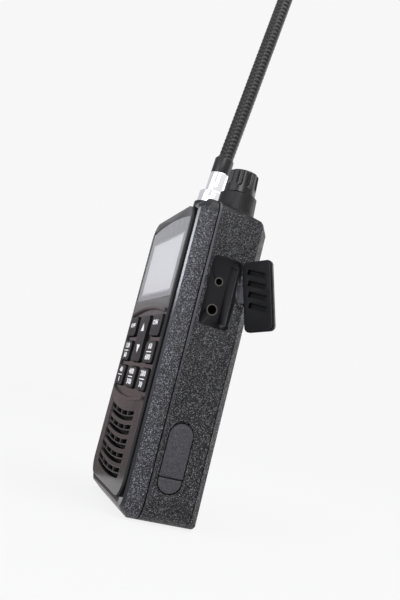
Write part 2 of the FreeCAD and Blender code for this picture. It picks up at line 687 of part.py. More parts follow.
def hinge_bar(name, start, end, radius):
    """Round bar on the leaning hinge line of the socket cover, in the case."""
    obj = doc.addObject("Part::Cylinder", name)
    tie(obj, "Radius", radius)
    tie(obj, "Height", "(%s) - (%s)" % (end, start))
    return put(obj, "axis_x", "hinge_cy - (%s) * sin(cover_lean)" % start,
               "hinge_z + (%s) * cos(cover_lean)" % start, (1, 0, 0), "cover_lean")


def port_box(name, more, x0, x1):
    """Block on the data socket, let out by a named distance."""
    return box(name, x0, x1, "port_y - usb_port_t / 2 - (%s)" % more,
               "port_y + usb_port_t / 2 + (%s)" % more,
               "usb_port_z - usb_port_h / 2 - (%s)" % more,
               "usb_port_z + usb_port_h / 2 + (%s)" % more)


def rear_edges(name):
    """Wedges that take off the long rear edges and the sloping top."""
    tools = []
    for word, side in (("left", "-"), ("right", "")):
        edge = [(side + "(half_w + 1)", "back_y - bevel_d"),
                (side + "half_w", "back_y - bevel_d"),
                (side + "(half_w - bevel_w)", "back_y"),
                (side + "(half_w - bevel_w)", "back_y + 1"),
                (side + "(half_w + 1)", "back_y + 1")]
        tools.append(poly("%s_%s" % (name, word), "XY", edge, "-1", "case_h + 1"))
    fall = "(side_y - seam_y) * tan(top_slope)"
    tools.append(poly(name + "_top", "YZ",
                      [("seam_y", "case_h"), ("side_y - 0.8", "case_h - " + fall),
                       ("back_y", "case_h - %s - shoulder" % fall),
                       ("back_y + 1", "case_h - %s - shoulder" % fall),
                       ("back_y + 1", "case_h + 1"), ("seam_y", "case_h + 1")],
                      "-half_w - 1", "half_w + 1"))
    return tools


rear_block = cut("rear_block", outline("rear_full", "seam_y", "back_y"),
                 box("lid_space", "-half_w - 1", "half_w + 1", "side_y", "back_y + 1",
                     "-1", "lid_top + slide_gap"),
                 *rear_edges("rear_edge"))
rear_hollow = cut("rear_hollow", rear_block,
                  outline("rear_front_inside", "seam_y", "bay_in", "wall"),
                  box("rear_top_inside", "-half_w + wall", "half_w - wall",
                      "bay_in - 1", "side_y - wall", "bay_z1 + wall", "ceiling"))
low_posts = [cyl("low_post_%d" % i, "Y", x, z, "board_back", "bay_y - 0.5", "post_r")
             for i, (x, z) in enumerate(SCREWS[:2])]
top_posts = [cyl("top_post_%d" % i, "Y", x, z, "board_back", "side_y - 1",
                 "post_r + 0.8") for i, (x, z) in enumerate(SCREWS[2:])]
recess_backing = box("recess_backing", "backing_x", "half_w - 1", "recess_a - 1.4",
                     "recess_b + 1.4", "recess_z0 - 1.4", "recess_z1 + 1.6")
usb_backing = box("usb_backing", "usb_x - wall", "half_w - 1",
                  "usb_cy - usb_r - 1.3", "usb_cy + usb_r + 1.3", "usb_z0 - 1.3",
                  "usb_z1 + 1.3")
turret = cone("knob_turret", "Z", "knob_x", "knob_cy", "ceiling + 1", "rim_z",
              "turret_r", "turret_top_r")
aerial_boss = stem("aerial_boss", "-4", "aerial_boss_h", "aerial_boss_r")
ears = [hinge_bar("ear_low", "-knuckle_h / 2 - 1.4", "-knuckle_h / 2 - slide_gap", "1"),
        hinge_bar("ear_high", "knuckle_h / 2 + slide_gap", "knuckle_h / 2 + 1.4", "1")]
rear_solid = fuse("rear_solid", rear_hollow, recess_backing, usb_backing, turret,
                  aerial_boss, *(low_posts + top_posts + ears))

seal_tool = cut("seal_tool", outline("seal_outer", "seam_y", "seam_y + 1", "seal_in"),
                outline("seal_inner", "seam_y - 1", "seam_y + 2", "1.4"))
seam_line = cut("seam_line", outline("line_outer", "seam_y - 0.5",
                                     "seam_y + seam_line_w", "-1"),
                outline("line_inner", "seam_y - 1", "seam_y + 2", "seam_line_d"))
openings = [
    seal_tool,
    seam_line,
    box("battery_bay", "-bay_half", "bay_half", "bay_y", "back_y + 1", "bay_z0",
        "bay_z1"),
    rounded("socket_recess", "YZ", "recess_a", "recess_b", "recess_z0", "recess_z1",
            "recess_r", "floor_x", "half_w + 2"),
    box("recess_channel", "floor_x - step_d", "floor_x + 0.5", "recess_b - step_w",
        "recess_b - 0.6", "recess_z0 + recess_r", "recess_z1 - recess_r"),
    box("knuckle_notch", "axis_x - knuckle_r - fit_gap", "half_w + 2",
        "recess_b - 1", "hinge_cy + knuckle_r + 0.8",
        "hinge_z - knuckle_h / 2 - slide_gap - 0.1",
        "hinge_z + knuckle_h / 2 + slide_gap + 0.1"),
    cyl("big_jack_hole", "X", "jack_cy", BIG_Z, "backing_x - 1", "half_w + 1",
        "big_bore + jack_tube"),
    cyl("small_jack_hole", "X", "jack_cy", SMALL_Z, "backing_x - 1", "half_w + 1",
        "small_bore + jack_tube"),
    stadium("usb_pocket", "usb_x", "half_w + 1", "usb_cy", "usb_z0 - usb_gap",
            "usb_z1 + usb_gap", "usb_r + usb_gap"),
    cyl("nail_notch", "X", "usb_cy", "usb_z1 - usb_r + 1.6", "half_w - 1", "half_w + 1",
        "usb_r - 0.3"),
    port_box("usb_window", "0.3", "usb_x - wall - 1", "half_w + 1"),
    cyl("usb_pin_hole", "Y", "half_w - usb_t / 2", "usb_hinge_z",
        "usb_cy - usb_r - 1", "usb_cy + usb_r + 1", "0.4"),
    cyl("turret_bore", "Z", "knob_x", "knob_cy", "ceiling - 1", "rim_z + 1", "bush_r"),
    cyl("turret_sink", "Z", "knob_x", "knob_cy", "rim_z - 2.2", "rim_z + 1", "5.9"),
    stem("aerial_bore", "-10", "aerial_boss_h + 1", "thread_r"),
    hinge_bar("cover_pin_hole", "-knuckle_h / 2 - 1.2", "knuckle_h / 2 + 1.2",
              "hinge_pin_r"),
    stadium("talk_key_hole", "-half_w - 1", "-half_w + wall + 1", "jack_cy",
            "ptt_z0 - slide_gap", "ptt_z1 + slide_gap", "ptt_w / 2 + slide_gap"),
    box("latch_recess", "-latch_half - slide_gap", "latch_half + slide_gap",
        "back_y - 2.2", "back_y + 1", "lid_top + 2.6",
        "lid_top + 9.2 + latch_travel"),
    box("latch_slot", "-4.2", "4.2", "back_y - 2.2", "back_y + 1", "lid_top - 1",
        "lid_top + 3"),
]
for i, x in enumerate(("-clip_pitch / 2", "clip_pitch / 2")):
    openings.append(cyl("insert_seat_%d" % i, "Y", x, "clip_z", "back_y - 5",
                        "back_y + 1", "insert_r"))
for i, x in enumerate(("-6", "0", "6")):
    openings.append(cyl("contact_hole_%d" % i, "Y", x, "bay_z1 - 10", "board_back",
                        "bay_y + 1", "0.9"))
openings += posts("rear_bore", "screw_r", "board_back - 1", "bay_y + 1")
openings += posts("head_bore", "screw_head_r + 0.3", "head_y", "back_y + 1")
rear_case = cut("rear_case", rear_solid, *openings)
node("rear_case", rear_case)
node("case_gasket", cut("case_gasket",
                        outline("gasket_outer", "seam_y", "seam_y + 1", "seal_in"),
                        outline("gasket_inner", "seam_y - 1", "seam_y + 2", "1.4")))

screws = []
for i, (x, z) in enumerate(SCREWS):
    solid = fuse("screw_%d" % i,
                 cyl("screw_head_%d" % i, "Y", x, z, "head_y", "bay_y",
                     "screw_head_r"),
                 cyl("screw_shank_%d" % i, "Y", x, z, "inner_y + 1.2", "head_y + 0.5",
                     "screw_r"))
    cross = [box("screw_slot_a%d" % i, x + " - 1.2", x + " + 1.2", "bay_y - 0.8",
                 "bay_y + 1", z + " - 0.25", z + " + 0.25"),
             box("screw_slot_b%d" % i, x + " - 0.25", x + " + 0.25", "bay_y - 0.8",
                 "bay_y + 1", z + " - 1.2", z + " + 1.2")]
    screws.append(cut("cross_screw_%d" % i, solid, *cross))
node("case_screws", group("case_screws", *screws))
inserts = []
for i, x in enumerate(("-clip_pitch / 2", "clip_pitch / 2")):
    inserts.append(cut("insert_%d" % i,
                       cyl("insert_body_%d" % i, "Y", x, "clip_z", "back_y - 5",
                           "back_y", "insert_r"),
                       cyl("insert_bore_%d" % i, "Y", x, "clip_z", "back_y - 4.4",
                           "back_y + 1", "insert_bore")))
node("clip_inserts", group("clip_inserts", *inserts))

# ---------------------------------------------------------------- sockets

node("jack_block", cut("jack_block",
                       box("jack_housing", "floor_x - big_depth - 2", "backing_x",
                           "board_back", "jack_cy + 3.4", BIG_Z + " - 4",
                           SMALL_Z + " + 4"),
                       cyl("big_housing_bore", "X", "jack_cy", BIG_Z,
                           "floor_x - big_depth - 1", "half_w", "big_bore + jack_tube"),
                       cyl("small_housing_bore", "X", "jack_cy", SMALL_Z,
                           "floor_x - small_depth - 1", "half_w",
                           "small_bore + jack_tube")))
for word, z, bore, depth in (("large", BIG_Z, "big_bore", "big_depth"),
                             ("small", SMALL_Z, "small_bore", "small_depth")):
    tube = cyl("%s_tube" % word, "X", "jack_cy", z, "floor_x - %s - 1" % depth,
               "floor_x", bore + " + jack_tube")
    hollow = cyl("%s_bore" % word, "X", "jack_cy", z, "floor_x - " + depth,
                 "floor_x + 1", bore)
    node("jack_" + word, cut("jack_" + word, tube, hollow))

node("cover_pin", hinge_bar("cover_pin", "-knuckle_h / 2 - 1.2", "knuckle_h / 2 + 1.2",
                            "hinge_pin_r"))

usb_shell = port_box("usb_shell", "0", "usb_x - 7.4", "usb_x - 1.1")
usb_mouth = port_box("usb_mouth", "-0.3", "usb_x - 6.4", "usb_x")
usb_tongue = box("usb_tongue", "usb_x - 6.8", "usb_x - 2", "port_y - 0.35",
                 "port_y + 0.35", "usb_port_z - 2.6", "usb_port_z + 2.6")
node("usb_socket", fuse("usb_socket", cut("usb_can", usb_shell, usb_mouth),
                        usb_tongue))

# ---------------------------------------------------------------- data cover

usb_axis = "half_w - usb_t / 2"
usb_roll = "usb_t / 2 - 0.05"
flap_plate = common("flap_plate",
                    stadium("flap_outline", "usb_x + 0.1", "half_w", "usb_cy",
                            "usb_z0", "usb_z1", "usb_r"),
                    box("flap_side", "usb_x", "half_w + 1", "usb_cy - usb_r - 1",
                        "usb_cy + usb_r + 1", "usb_hinge_z", "usb_z1 + 1"))
flap_roll = cyl("flap_roll", "Y", usb_axis, "usb_hinge_z", "usb_cy - usb_r",
                "usb_cy + usb_r", usb_roll)
flap_plug = box("flap_plug", "usb_x - 0.9", "usb_x + 0.5", "port_y - 1.1",
                "port_y + 1.1", "usb_port_z - 2.8", "usb_port_z + 2.8")
node("usb_cover", cut("usb_cover", fuse("flap_solid", flap_plate, flap_roll, flap_plug),
                      cyl("flap_bore", "Y", usb_axis, "usb_hinge_z",
                          "usb_cy - usb_r - 1", "usb_cy + usb_r + 1",
                          "0.4 + pin_gap")))
node("usb_cover_tail", common("usb_cover_tail",
                              stadium("tail_outline", "usb_x", "half_w", "usb_cy",
                                      "usb_z0", "usb_z1", "usb_r"),
                              box("tail_side", "usb_x - 1", "half_w + 1",
                                  "usb_cy - usb_r - 1", "usb_cy + usb_r + 1",
                                  "usb_z0 - 1", "usb_hinge_z - %s - 0.2" % usb_roll)))
node("usb_cover_pin", cyl("usb_cover_pin", "Y", usb_axis, "usb_hinge_z",
                          "usb_cy - usb_r - 1", "usb_cy + usb_r + 1", "0.4"))

# ---------------------------------------------------------------- socket cover

# Drawn closed about its hinge point, then turned open about the leaning hinge line.
near_y = "recess_a + cover_gap - hinge_cy"
far_y = "recess_b - cover_gap - hinge_cy"
low_z = "recess_z0 + cover_gap - hinge_z"
high_z = "recess_z1 - cover_gap - hinge_z"
plate_out = "hinge_x - cover_sink"
plate_in = plate_out + " - cover_plate"
cover_plate = rounded("cover_sheet", "YZ", near_y, far_y, low_z, high_z,
                      "recess_r - cover_gap", plate_in, plate_out)
cover_pad = rounded("cover_pad_block", "YZ", near_y + " + cover_inset",
                    far_y + " - cover_inset", low_z + " + cover_inset",
                    high_z + " - cover_inset", "recess_r - cover_inset",
                    plate_in + " - cover_pad", plate_in)
cover_tab = box("cover_tab", plate_in + " + 0.2", plate_out, far_y + " - 1", "-0.3",
                "-knuckle_h / 2", "knuckle_h / 2")


def local_bar(name, start, end, radius):
    """Round bar on the hinge line, measured from the hinge point."""
    obj = doc.addObject("Part::Cylinder", name)
    tie(obj, "Radius", radius)
    tie(obj, "Height", "(%s) - (%s)" % (end, start))
    return put(obj, "0", "-(%s) * sin(cover_lean)" % start,
               "(%s) * cos(cover_lean)" % start, (1, 0, 0), "cover_lean")


grooves = []
for i in range(4):
    groove = doc.addObject("Part::Box", "cover_groove_%d" % i)
    tie(groove, "Length", "1.6")
    tie(groove, "Width", "recess_w * 0.58")
    tie(groove, "Height", "1.1")
    put(groove, plate_in + " - cover_pad - 1", near_y + " + 2.6",
        "(%s + %s) / 2 + 7.2 - %d * 4.2" % (low_z, high_z, i), (1, 0, 0), "9")
    grooves.append(groove)
socket_cover = cut("jack_cover",
                   fuse("cover_solid", cover_plate, cover_pad, cover_tab,
                        local_bar("cover_knuckle", "-knuckle_h / 2", "knuckle_h / 2",
                                  "knuckle_r")),
                   local_bar("cover_bore", "-knuckle_h / 2 - 1", "knuckle_h / 2 + 1",
                             "hinge_pin_r + pin_gap"), *grooves)
lean = number("cover_lean") * 3.141592653589793 / 180
import math
socket_cover.Placement = FreeCAD.Placement(
    Vector(0, 0, 0), Rotation(Vector(0, -math.sin(lean), math.cos(lean)),
                              number("cover_open")))
tie(socket_cover, "Placement.Rotation.Axis.y", "-sin(cover_lean)")
tie(socket_cover, "Placement.Rotation.Axis.z", "cos(cover_lean)")
tie(socket_cover, "Placement.Rotation.Angle", "cover_open")
tie(socket_cover, "Placement.Base.x", "axis_x")
tie(socket_cover, "Placement.Base.y", "hinge_cy")
tie(socket_cover, "Placement.Base.z", "hinge_z")
node("jack_cover", socket_cover)

# ---------------------------------------------------------------- volume control

pot_body = box("pot_body", "knob_x - 5.5", "knob_x + 5.5", "knob_cy - 5",
               "knob_cy + 5", "pot_z0", "ceiling")
pot_bush = cyl("pot_bush", "Z", "knob_x", "knob_cy", "ceiling - 1", "rim_z - 0.3",
               "bush_r")
node("volume_pot", cut("volume_pot", fuse("pot_solid", pot_body, pot_bush),
                       cyl("pot_bore", "Z", "knob_x", "knob_cy", "pot_z0 + 3",
                           "rim_z + 1", "pot_shaft_r + pin_gap")))
pot_hex = doc.addObject("Part::Prism", "pot_hex")
pot_hex.Polygon = 6
tie(pot_hex, "Circumradius", "5.4")
tie(pot_hex, "Height", "1.6")
put(pot_hex, "knob_x", "knob_cy", "rim_z - 2.2")
node("pot_nut", cut("pot_nut", pot_hex,
                    cyl("nut_bore", "Z", "knob_x", "knob_cy", "rim_z - 3", "rim_z + 1",
                        "bush_r")))
node("pot_shaft", cyl("pot_shaft", "Z", "knob_x", "knob_cy", "pot_z0 + 3.2",
                      "knob_z + 7.5", "pot_shaft_r"))

knob_top = "knob_z + knob_h"
knob_body = cone("knob_body", "Z", "knob_x", "knob_cy", "knob_z", knob_top, "knob_r",
                 "knob_r - knob_h * tan(knob_taper)")
dome = doc.addObject("Part::Sphere", "knob_dome")
tie(dome, "Radius", "2 * knob_h")
put(dome, "knob_x", "knob_cy", knob_top + " - 2 * knob_h")
knob_tools = [cyl("knob_bore", "Z", "knob_x", "knob_cy", "knob_z - 1", "knob_z + 7.5",
                  "pot_shaft_r")]
for i in range(int(number("flutes"))):
    x = "knob_x + (knob_r + 0.55) * cos(%d * 360 / flutes + 10)" % i
    y = "knob_cy + (knob_r + 0.55) * sin(%d * 360 / flutes + 10)" % i
    flute_end = doc.addObject("Part::Sphere", "flute_end_%d" % i)
    tie(flute_end, "Radius", "flute_r")
    put(flute_end, x, y, "knob_z + 4")
    knob_tools.append(fuse("flute_%d" % i, flute_end,
                           cyl("flute_run_%d" % i, "Z", x, y, "knob_z + 4",
                               knob_top + " + 1", "flute_r")))
node("volume_knob", cut("volume_knob", common("knob_blank", knob_body, dome),
                        *knob_tools))

# ---------------------------------------------------------------- aerial

nut_top = "aerial_boss_h + nut_h"
couple_0 = nut_top + " + fit_gap"
couple_1 = couple_0 + " + couple_h"
sleeve_1 = couple_1 + " + sleeve_h"
node("antenna_socket", cut("antenna_socket",
                           stem("socket_barrel", "-9", nut_top, "thread_r"),
                           stem("socket_bore", "6", nut_top + " + 1", "stud_r")))
node("antenna_collar", cut("antenna_collar",
                           stem("collar_body", "aerial_boss_h", nut_top, "nut_r"),
                           stem("collar_bore", "aerial_boss_h - 1", nut_top + " + 1",
                                "thread_r")))
node("antenna_coupling", fuse("antenna_coupling",
                              stem("coupling_body", couple_0, couple_1, "couple_r"),
                              stem("coupling_stud", "6.4", couple_0 + " + 1",
                                   "stud_r - pin_gap")))


def whip_piece(name, start, end, r0, r1=None):
    """Round piece on the whip axis; lengths run from inside the sleeve."""
    kind = "Part::Cylinder" if r1 is None else "Part::Cone"
    obj = doc.addObject(kind, name)
    if r1 is None:
        tie(obj, "Radius", r0)
    else:
        tie(obj, "Radius1", r0)
        tie(obj, "Radius2", r1)
    tie(obj, "Height", "(%s) - (%s)" % (end, start))
    root = "(%s + 1.6)" % couple_1
    return put(obj, "aerial_x",
               "aerial_cy + %s * sin(aerial_lean) + (%s) * sin(whip_lean)" % (root, start),
               "case_h + %s * cos(aerial_lean) + (%s) * cos(whip_lean)" % (root, start),
               (-1, 0, 0), "whip_lean")


sleeve_body = fuse("sleeve_body",
                   stem("sleeve_straight", couple_1, sleeve_1 + " - 1.2", "couple_r"),
                   stem("sleeve_slant", sleeve_1 + " - 1.2", sleeve_1, "couple_r",
                        "couple_r - 0.9"))
node("antenna_sleeve", cut("antenna_sleeve", sleeve_body,
                           whip_piece("sleeve_bore", "0", "sleeve_h + 3", "whip_r")))
node("antenna_whip", cut("antenna_whip", whip_piece("whip_body", "0", "whip_len",
                                                    "whip_r"),
                         whip_piece("whip_bore", "-1", "whip_len - 6", "wire_r")))
node("antenna_wire", whip_piece("antenna_wire", "0", "whip_len - 6", "wire_r"))
node("antenna_tip", whip_piece("antenna_tip", "whip_len", "whip_len + 4", "whip_r",
                               "whip_r - 1.2"))

# ---------------------------------------------------------------- talk key

talk_cap = stadium("talk_cap", "-half_w - ptt_proud", "-half_w + wall + 0.3", "jack_cy",
                   "ptt_z0", "ptt_z1", "ptt_w / 2")
talk_rim = stadium("talk_rim", "-half_w + wall + 0.1", "-half_w + wall + 0.9",
                   "jack_cy", "ptt_z0 - 1", "ptt_z1 + 1", "ptt_w / 2 + 1")
node("talk_key", fuse("talk_key", talk_cap, talk_rim))
node("talk_switch", box("talk_switch", "-half_w + wall + 0.9 + ptt_travel",
                        "-pcb_w / 2 + 5", "board_back", "jack_cy + 1.5",
                        "(ptt_z0 + ptt_z1) / 2 - 2.5", "(ptt_z0 + ptt_z1) / 2 + 2.5"))

# ---------------------------------------------------------------- battery

lid_plate = common("lid_plate", outline("lid_outline", LID_Y, "back_y"),
                   box("lid_part", "-half_w - 1", "half_w + 1", "side_y", "back_y + 1",
                       "-1", "lid_top"))
lid = cut("battery_lid", lid_plate,
          box("lid_notch", "-4.4", "4.4", "back_y - 2.4", "back_y + 1", "lid_top - 1.2",
              "lid_top + 1"),
          box("lid_grip", "-12", "12", "back_y - 0.6", "back_y + 1", "lid_top - 9",
              "lid_top - 6"),
          *rear_edges("lid_edge"))
node("battery_lid", lid)
SHELL_Y = "bay_y + 0.4"
shell_block = box("shell_block", "-bay_half + 0.4", "bay_half - 0.4", SHELL_Y, LID_Y,
                  "bay_z0 + 0.4", "bay_z1 - 0.4")
shell_space = box("shell_space", "-bay_half + 1.8", "bay_half - 1.8", SHELL_Y + " + 1.4",
                  "back_y", "bay_z0 + 1.8", "bay_z1 - 1.8")
contact_z = "bay_z1 - 10"
pads = []
pad_holes = []
for i, x in enumerate(("-6", "0", "6")):
    spots = (x + " - 1.8", x + " + 1.8", "bay_y + 0.2", SHELL_Y + " + 1.4",
             contact_z + " - 1.8", contact_z + " + 1.8")
    pads.append(box("battery_pad_%d" % i, *spots))
    pad_holes.append(box("pad_hole_%d" % i, *spots))
node("battery_shell", cut("battery_shell", shell_block, shell_space, *pad_holes))
node("battery_pads", group("battery_pads", *pads))
cells = []
for i, (x0, x1) in enumerate((("-bay_half + 2.2", "-0.3"), ("0.3", "bay_half - 2.2"))):
    cells.append(box("cell_%d" % i, x0, x1, SHELL_Y + " + 1.4", "side_y",
                     "bay_z0 + 2.2", "bay_z1 - 2.2"))
node("battery_cells", group("battery_cells", *cells))
node("battery_contacts", group("battery_contacts",
                               *[cyl("contact_pin_%d" % i, "Y", x, contact_z,
                                     "board_back", "bay_y + 0.2", "0.9")
                                 for i, x in enumerate(("-6", "0", "6"))]))

# The latch is drawn slid up, clear of the lid.
latch_z = "lid_top + 3 + latch_travel"
latch_plate = box("latch_plate", "-latch_half", "latch_half", "back_y - 2", "back_y",
                  latch_z, latch_z + " + 6")
latch_tongue = box("latch_tongue", "-4", "4", "back_y - 2", "back_y - 1",
                   "lid_top - 0.9 + latch_travel", latch_z + " + 1")
ribs = [box("latch_rib_%d" % i, "-latch_half + 2", "latch_half - 2", "back_y - 1",
            "back_y + 0.6", latch_z + " + %.1f" % (1.2 + 1.5 * i),
            latch_z + " + %.1f" % (1.9 + 1.5 * i)) for i in range(3)]
node("battery_latch", fuse("battery_latch", latch_plate, latch_tongue, *ribs))

doc.recompute()
os.makedirs("parts", exist_ok=True)
faults = []
for obj in doc.Objects:
    if "Invalid" in obj.State or "Error" in obj.State:
        faults.append("%s: %s" % (obj.Name, obj.State))
for obj in NODES:
    if obj.Shape.isNull() or not obj.Shape.isValid() or not obj.Shape.Solids:
        faults.append("%s has no valid solid" % obj.Label)
if faults:
    raise RuntimeError("; ".join(faults))
for obj in NODES:
    obj.Shape.exportStep("parts/%s.step" % obj.Label)
print("%d pieces written" % len(NODES))
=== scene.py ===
"""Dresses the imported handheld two-way radio: shapes, finishes, studio and camera."""

import json
import logging
import math
from collections.abc import Iterator
from contextlib import contextmanager
from dataclasses import dataclass, field
from enum import Enum
from typing import TypeVar

import bmesh
import bpy
import numpy as np
from bpy.types import ID, Material, Mesh, Node, NodeOutputs, NodeSocket, NodeTree, Object
from mathutils import Matrix, Vector


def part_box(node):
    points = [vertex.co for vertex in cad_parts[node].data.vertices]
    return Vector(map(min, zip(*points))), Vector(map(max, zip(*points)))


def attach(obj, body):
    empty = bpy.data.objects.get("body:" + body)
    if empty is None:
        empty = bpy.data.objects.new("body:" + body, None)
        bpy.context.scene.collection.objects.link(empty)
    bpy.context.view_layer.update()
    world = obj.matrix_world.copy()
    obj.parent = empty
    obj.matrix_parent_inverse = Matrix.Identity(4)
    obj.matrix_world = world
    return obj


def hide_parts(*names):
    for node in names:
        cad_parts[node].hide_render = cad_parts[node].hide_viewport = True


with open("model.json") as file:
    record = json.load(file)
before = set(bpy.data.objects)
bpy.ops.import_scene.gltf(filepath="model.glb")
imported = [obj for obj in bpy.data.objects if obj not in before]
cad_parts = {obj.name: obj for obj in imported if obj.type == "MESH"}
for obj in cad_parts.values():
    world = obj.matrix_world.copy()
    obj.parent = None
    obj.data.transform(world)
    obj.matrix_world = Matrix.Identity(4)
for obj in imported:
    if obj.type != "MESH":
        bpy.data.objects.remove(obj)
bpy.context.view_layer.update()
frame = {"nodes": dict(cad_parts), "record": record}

LOG = logging.getLogger("radio")
MM = 0.001
Colour = tuple[float, float, float]
Place = tuple[float, float, float]
Span = tuple[float, float]
T = TypeVar("T")
Outline = tuple[Span, ...]
Inputs = dict[str | int, object]


def adjust(thing: T, **values: object) -> T:
    """Set several attributes of a thing, and give it back.

    Args:
        thing: what is set.
        values: attributes by name.

    Returns:
        The thing.
    """
    for name, value in values.items():
        setattr(thing, name, value)
    return thing


@contextmanager
def editing(mesh: Mesh) -> Iterator[bmesh.types.BMesh]:
    """Open a mesh for editing, and write it back.

    Args:
        mesh: the mesh.

    Yields:
        Its editable form.
    """
    work = bmesh.new()
    work.from_mesh(mesh)
    yield work
    work.to_mesh(mesh)
    work.free()


# ---- node helpers


class Socket(Enum):
    """Kinds of socket that a shader node group can have."""

    NUMBER = "NodeSocketFloat"
    COLOUR = "NodeSocketColor"
    VECTOR = "NodeSocketVector"


@dataclass
class NodeBuilder:
    """Adds and feeds nodes in one tree."""

    tree: NodeTree

    def add(self, kind: str, inputs: Inputs | None = None, **values: object) -> Node:
        """Add a node.

        Args:
            kind: Blender's name for the node type.
            inputs: what goes to its inputs, as in feed.
            values: attributes to set on the node.

        Returns:
            The new node.
        """
        node = adjust(self.tree.nodes.new(kind), **values)
        self.feed(node, inputs or {})
        return node

    def feed(self, node: Node, inputs: Inputs) -> None:
        """Link sockets to a node's inputs, and set the constants of the others.

        Args:
            node: the node.
            inputs: a socket, a number or a colour for each input, by name or index.
        """
        for key, value in inputs.items():
            if isinstance(value, NodeSocket):
                self.tree.links.new(value, node.inputs[key])
            elif isinstance(value, tuple):
                node.inputs[key].default_value = (*value, 1.0)
            else:
                node.inputs[key].default_value = float(value)

    def math(self, kind: str, first: object, second: object = 0.0) -> NodeSocket:
        """Combine two values, each a socket or a number."""
        return self.add("ShaderNodeMath", {0: first, 1: second}, operation=kind).outputs[0]

    def spread(self, source: NodeSocket, low: object, high: object,
               out_low: object = 0.0, out_high: object = 1.0) -> NodeSocket:
        """Map a value from one clamped span to another.

        Args:
            source: value to map.
            low: start of the input span.
            high: end of the input span.
            out_low: result at the start.
            out_high: result at the end.

        Returns:
            The mapped socket.
        """
        inputs = dict(enumerate((source, low, high, out_low, out_high)))
        return self.add("ShaderNodeMapRange", inputs).outputs[0]

    def mix(self, share: object, first: object, second: object) -> NodeSocket:
        """Blend two colours or sockets, with the second one's share."""
        inputs = {0: share, 6: first, 7: second}
        return self.add("ShaderNodeMix", inputs, data_type="RGBA").outputs[2]

    def axes(self, vector: NodeSocket) -> NodeOutputs:
        """Outputs X, Y and Z of a vector."""
        return self.add("ShaderNodeSeparateXYZ", {0: vector}).outputs

    def place(self) -> NodeSocket:
        """Object coordinates of the piece."""
        return self.add("ShaderNodeTexCoord").outputs["Object"]

    def white_rays(self) -> NodeSocket:
        """One for rays from the camera, gloss and glass, and none for the light's own.

        Returns:
            The socket.
        """
        path = self.add("ShaderNodeLightPath").outputs
        inner = self.math("MAXIMUM", path["Is Glossy Ray"], path["Is Transmission Ray"])
        return self.math("MAXIMUM", path["Is Camera Ray"], inner)


def new_material(name: str) -> tuple[Material, NodeBuilder]:
    """Start a material, and give it with its builder.

    Args:
        name: material name.

    Returns:
        The material and the builder of its tree.
    """
    material = bpy.data.materials.new(name)
    material.use_nodes = True
    return material, NodeBuilder(material.node_tree)


def new_group(name: str, colours: str, numbers: str
              ) -> tuple[NodeTree, NodeBuilder, NodeOutputs, Node]:
    """Start a shader node group that takes a vector and gives a surface.

    Args:
        name: group name.
        colours: names of its colour inputs, with spaces between them.
        numbers: names of its number inputs, with spaces between them.

    Returns:
        The group, its builder, the sockets of its inputs and its output node.
    """
    tree = bpy.data.node_groups.new(name, "ShaderNodeTree")
    for way, kind, labels in (("INPUT", Socket.VECTOR, "Vector"),
                              ("INPUT", Socket.COLOUR, colours),
                              ("INPUT", Socket.NUMBER, numbers),
                              ("OUTPUT", Socket.COLOUR, "Colour"),
                              ("OUTPUT", Socket.NUMBER, "Roughness Height")):
        for label in labels.split():
            tree.interface.new_socket(label, in_out=way, socket_type=kind.value)
    b = NodeBuilder(tree)
    return tree, b, b.add("NodeGroupInput").outputs, b.add("NodeGroupOutput")


def speckle_group() -> NodeTree:
    """Moulded grain: fine cells give height, and a few of them shine paler.

    Returns:
        The group.
    """
    tree, b, src, out = new_group("speckled_grain", "Base Spark", "Cells Share Roughness")
    cells = b.add("ShaderNodeTexVoronoi", {"Vector": src["Vector"], "Scale": src["Cells"]},
                  feature="F1").outputs
    split = b.add("ShaderNodeSeparateColor", {0: cells["Color"]}).outputs
    noise = b.add("ShaderNodeTexNoise", {"Vector": src["Vector"], "Detail": 3.0,
                                         "Scale": b.math("MULTIPLY", src["Cells"], 0.31)})
    drift = b.add("ShaderNodeTexNoise", {"Vector": src["Vector"], "Scale": 35.0})
    sparks = b.spread(split[0], b.math("SUBTRACT", 1.0, src["Share"]), 1.0)
    shade = b.spread(split[1], 0.0, 1.0, 0.55, 1.45)
    tone = b.math("MULTIPLY", shade, b.spread(drift.outputs["Fac"], 0.3, 0.7, 0.88, 1.12))
    base = b.add("ShaderNodeVectorMath", {0: src["Base"], "Scale": tone}, operation="SCALE")
    dome = b.math("SUBTRACT", 1.0, b.math("MULTIPLY", cells["Distance"], 1.2))
    uneven = b.spread(split[2], 0.0, 1.0, -0.12, 0.12)
    b.feed(out, {"Colour": b.mix(sparks, base.outputs[0], src["Spark"]),
                 "Height": b.math("ADD", dome, b.math("MULTIPLY", noise.outputs["Fac"], 0.8)),
                 "Roughness": b.math("ADD", src["Roughness"], uneven)})
    return tree


def handling_group() -> NodeTree:
    """Smears and fine scratches left by handling.

    Returns:
        The group.
    """
    tree, b, src, out = new_group("handling_marks", "Base Dust", "Amount Roughness Size")
    smear = b.add("ShaderNodeTexNoise", {"Vector": src["Vector"], "Scale": src["Size"],
                                         "Detail": 6.0, "Distortion": 1.5}).outputs["Fac"]
    specks = b.add("ShaderNodeTexVoronoi", {"Vector": src["Vector"],
                                            "Scale": b.math("MULTIPLY", src["Size"], 14.0)},
                   feature="F1")
    dots = b.spread(specks.outputs["Distance"], 0.0, 0.16, 1.0, 0.0)
    cloud = b.spread(smear, 0.45, 0.75)
    marks = b.math("ADD", cloud, b.math("MULTIPLY", dots, 0.5))
    uneven = b.math("MULTIPLY", b.spread(smear, 0.3, 0.7, -1.0, 1.6), src["Amount"])
    b.feed(out, {"Colour": b.mix(b.math("MULTIPLY", marks, src["Amount"]), src["Base"],
                                 src["Dust"]),
                 "Roughness": b.math("ADD", src["Roughness"], uneven),
                 "Height": smear})
    return tree


GROUPS = {"speckle": speckle_group(), "handling": handling_group()}


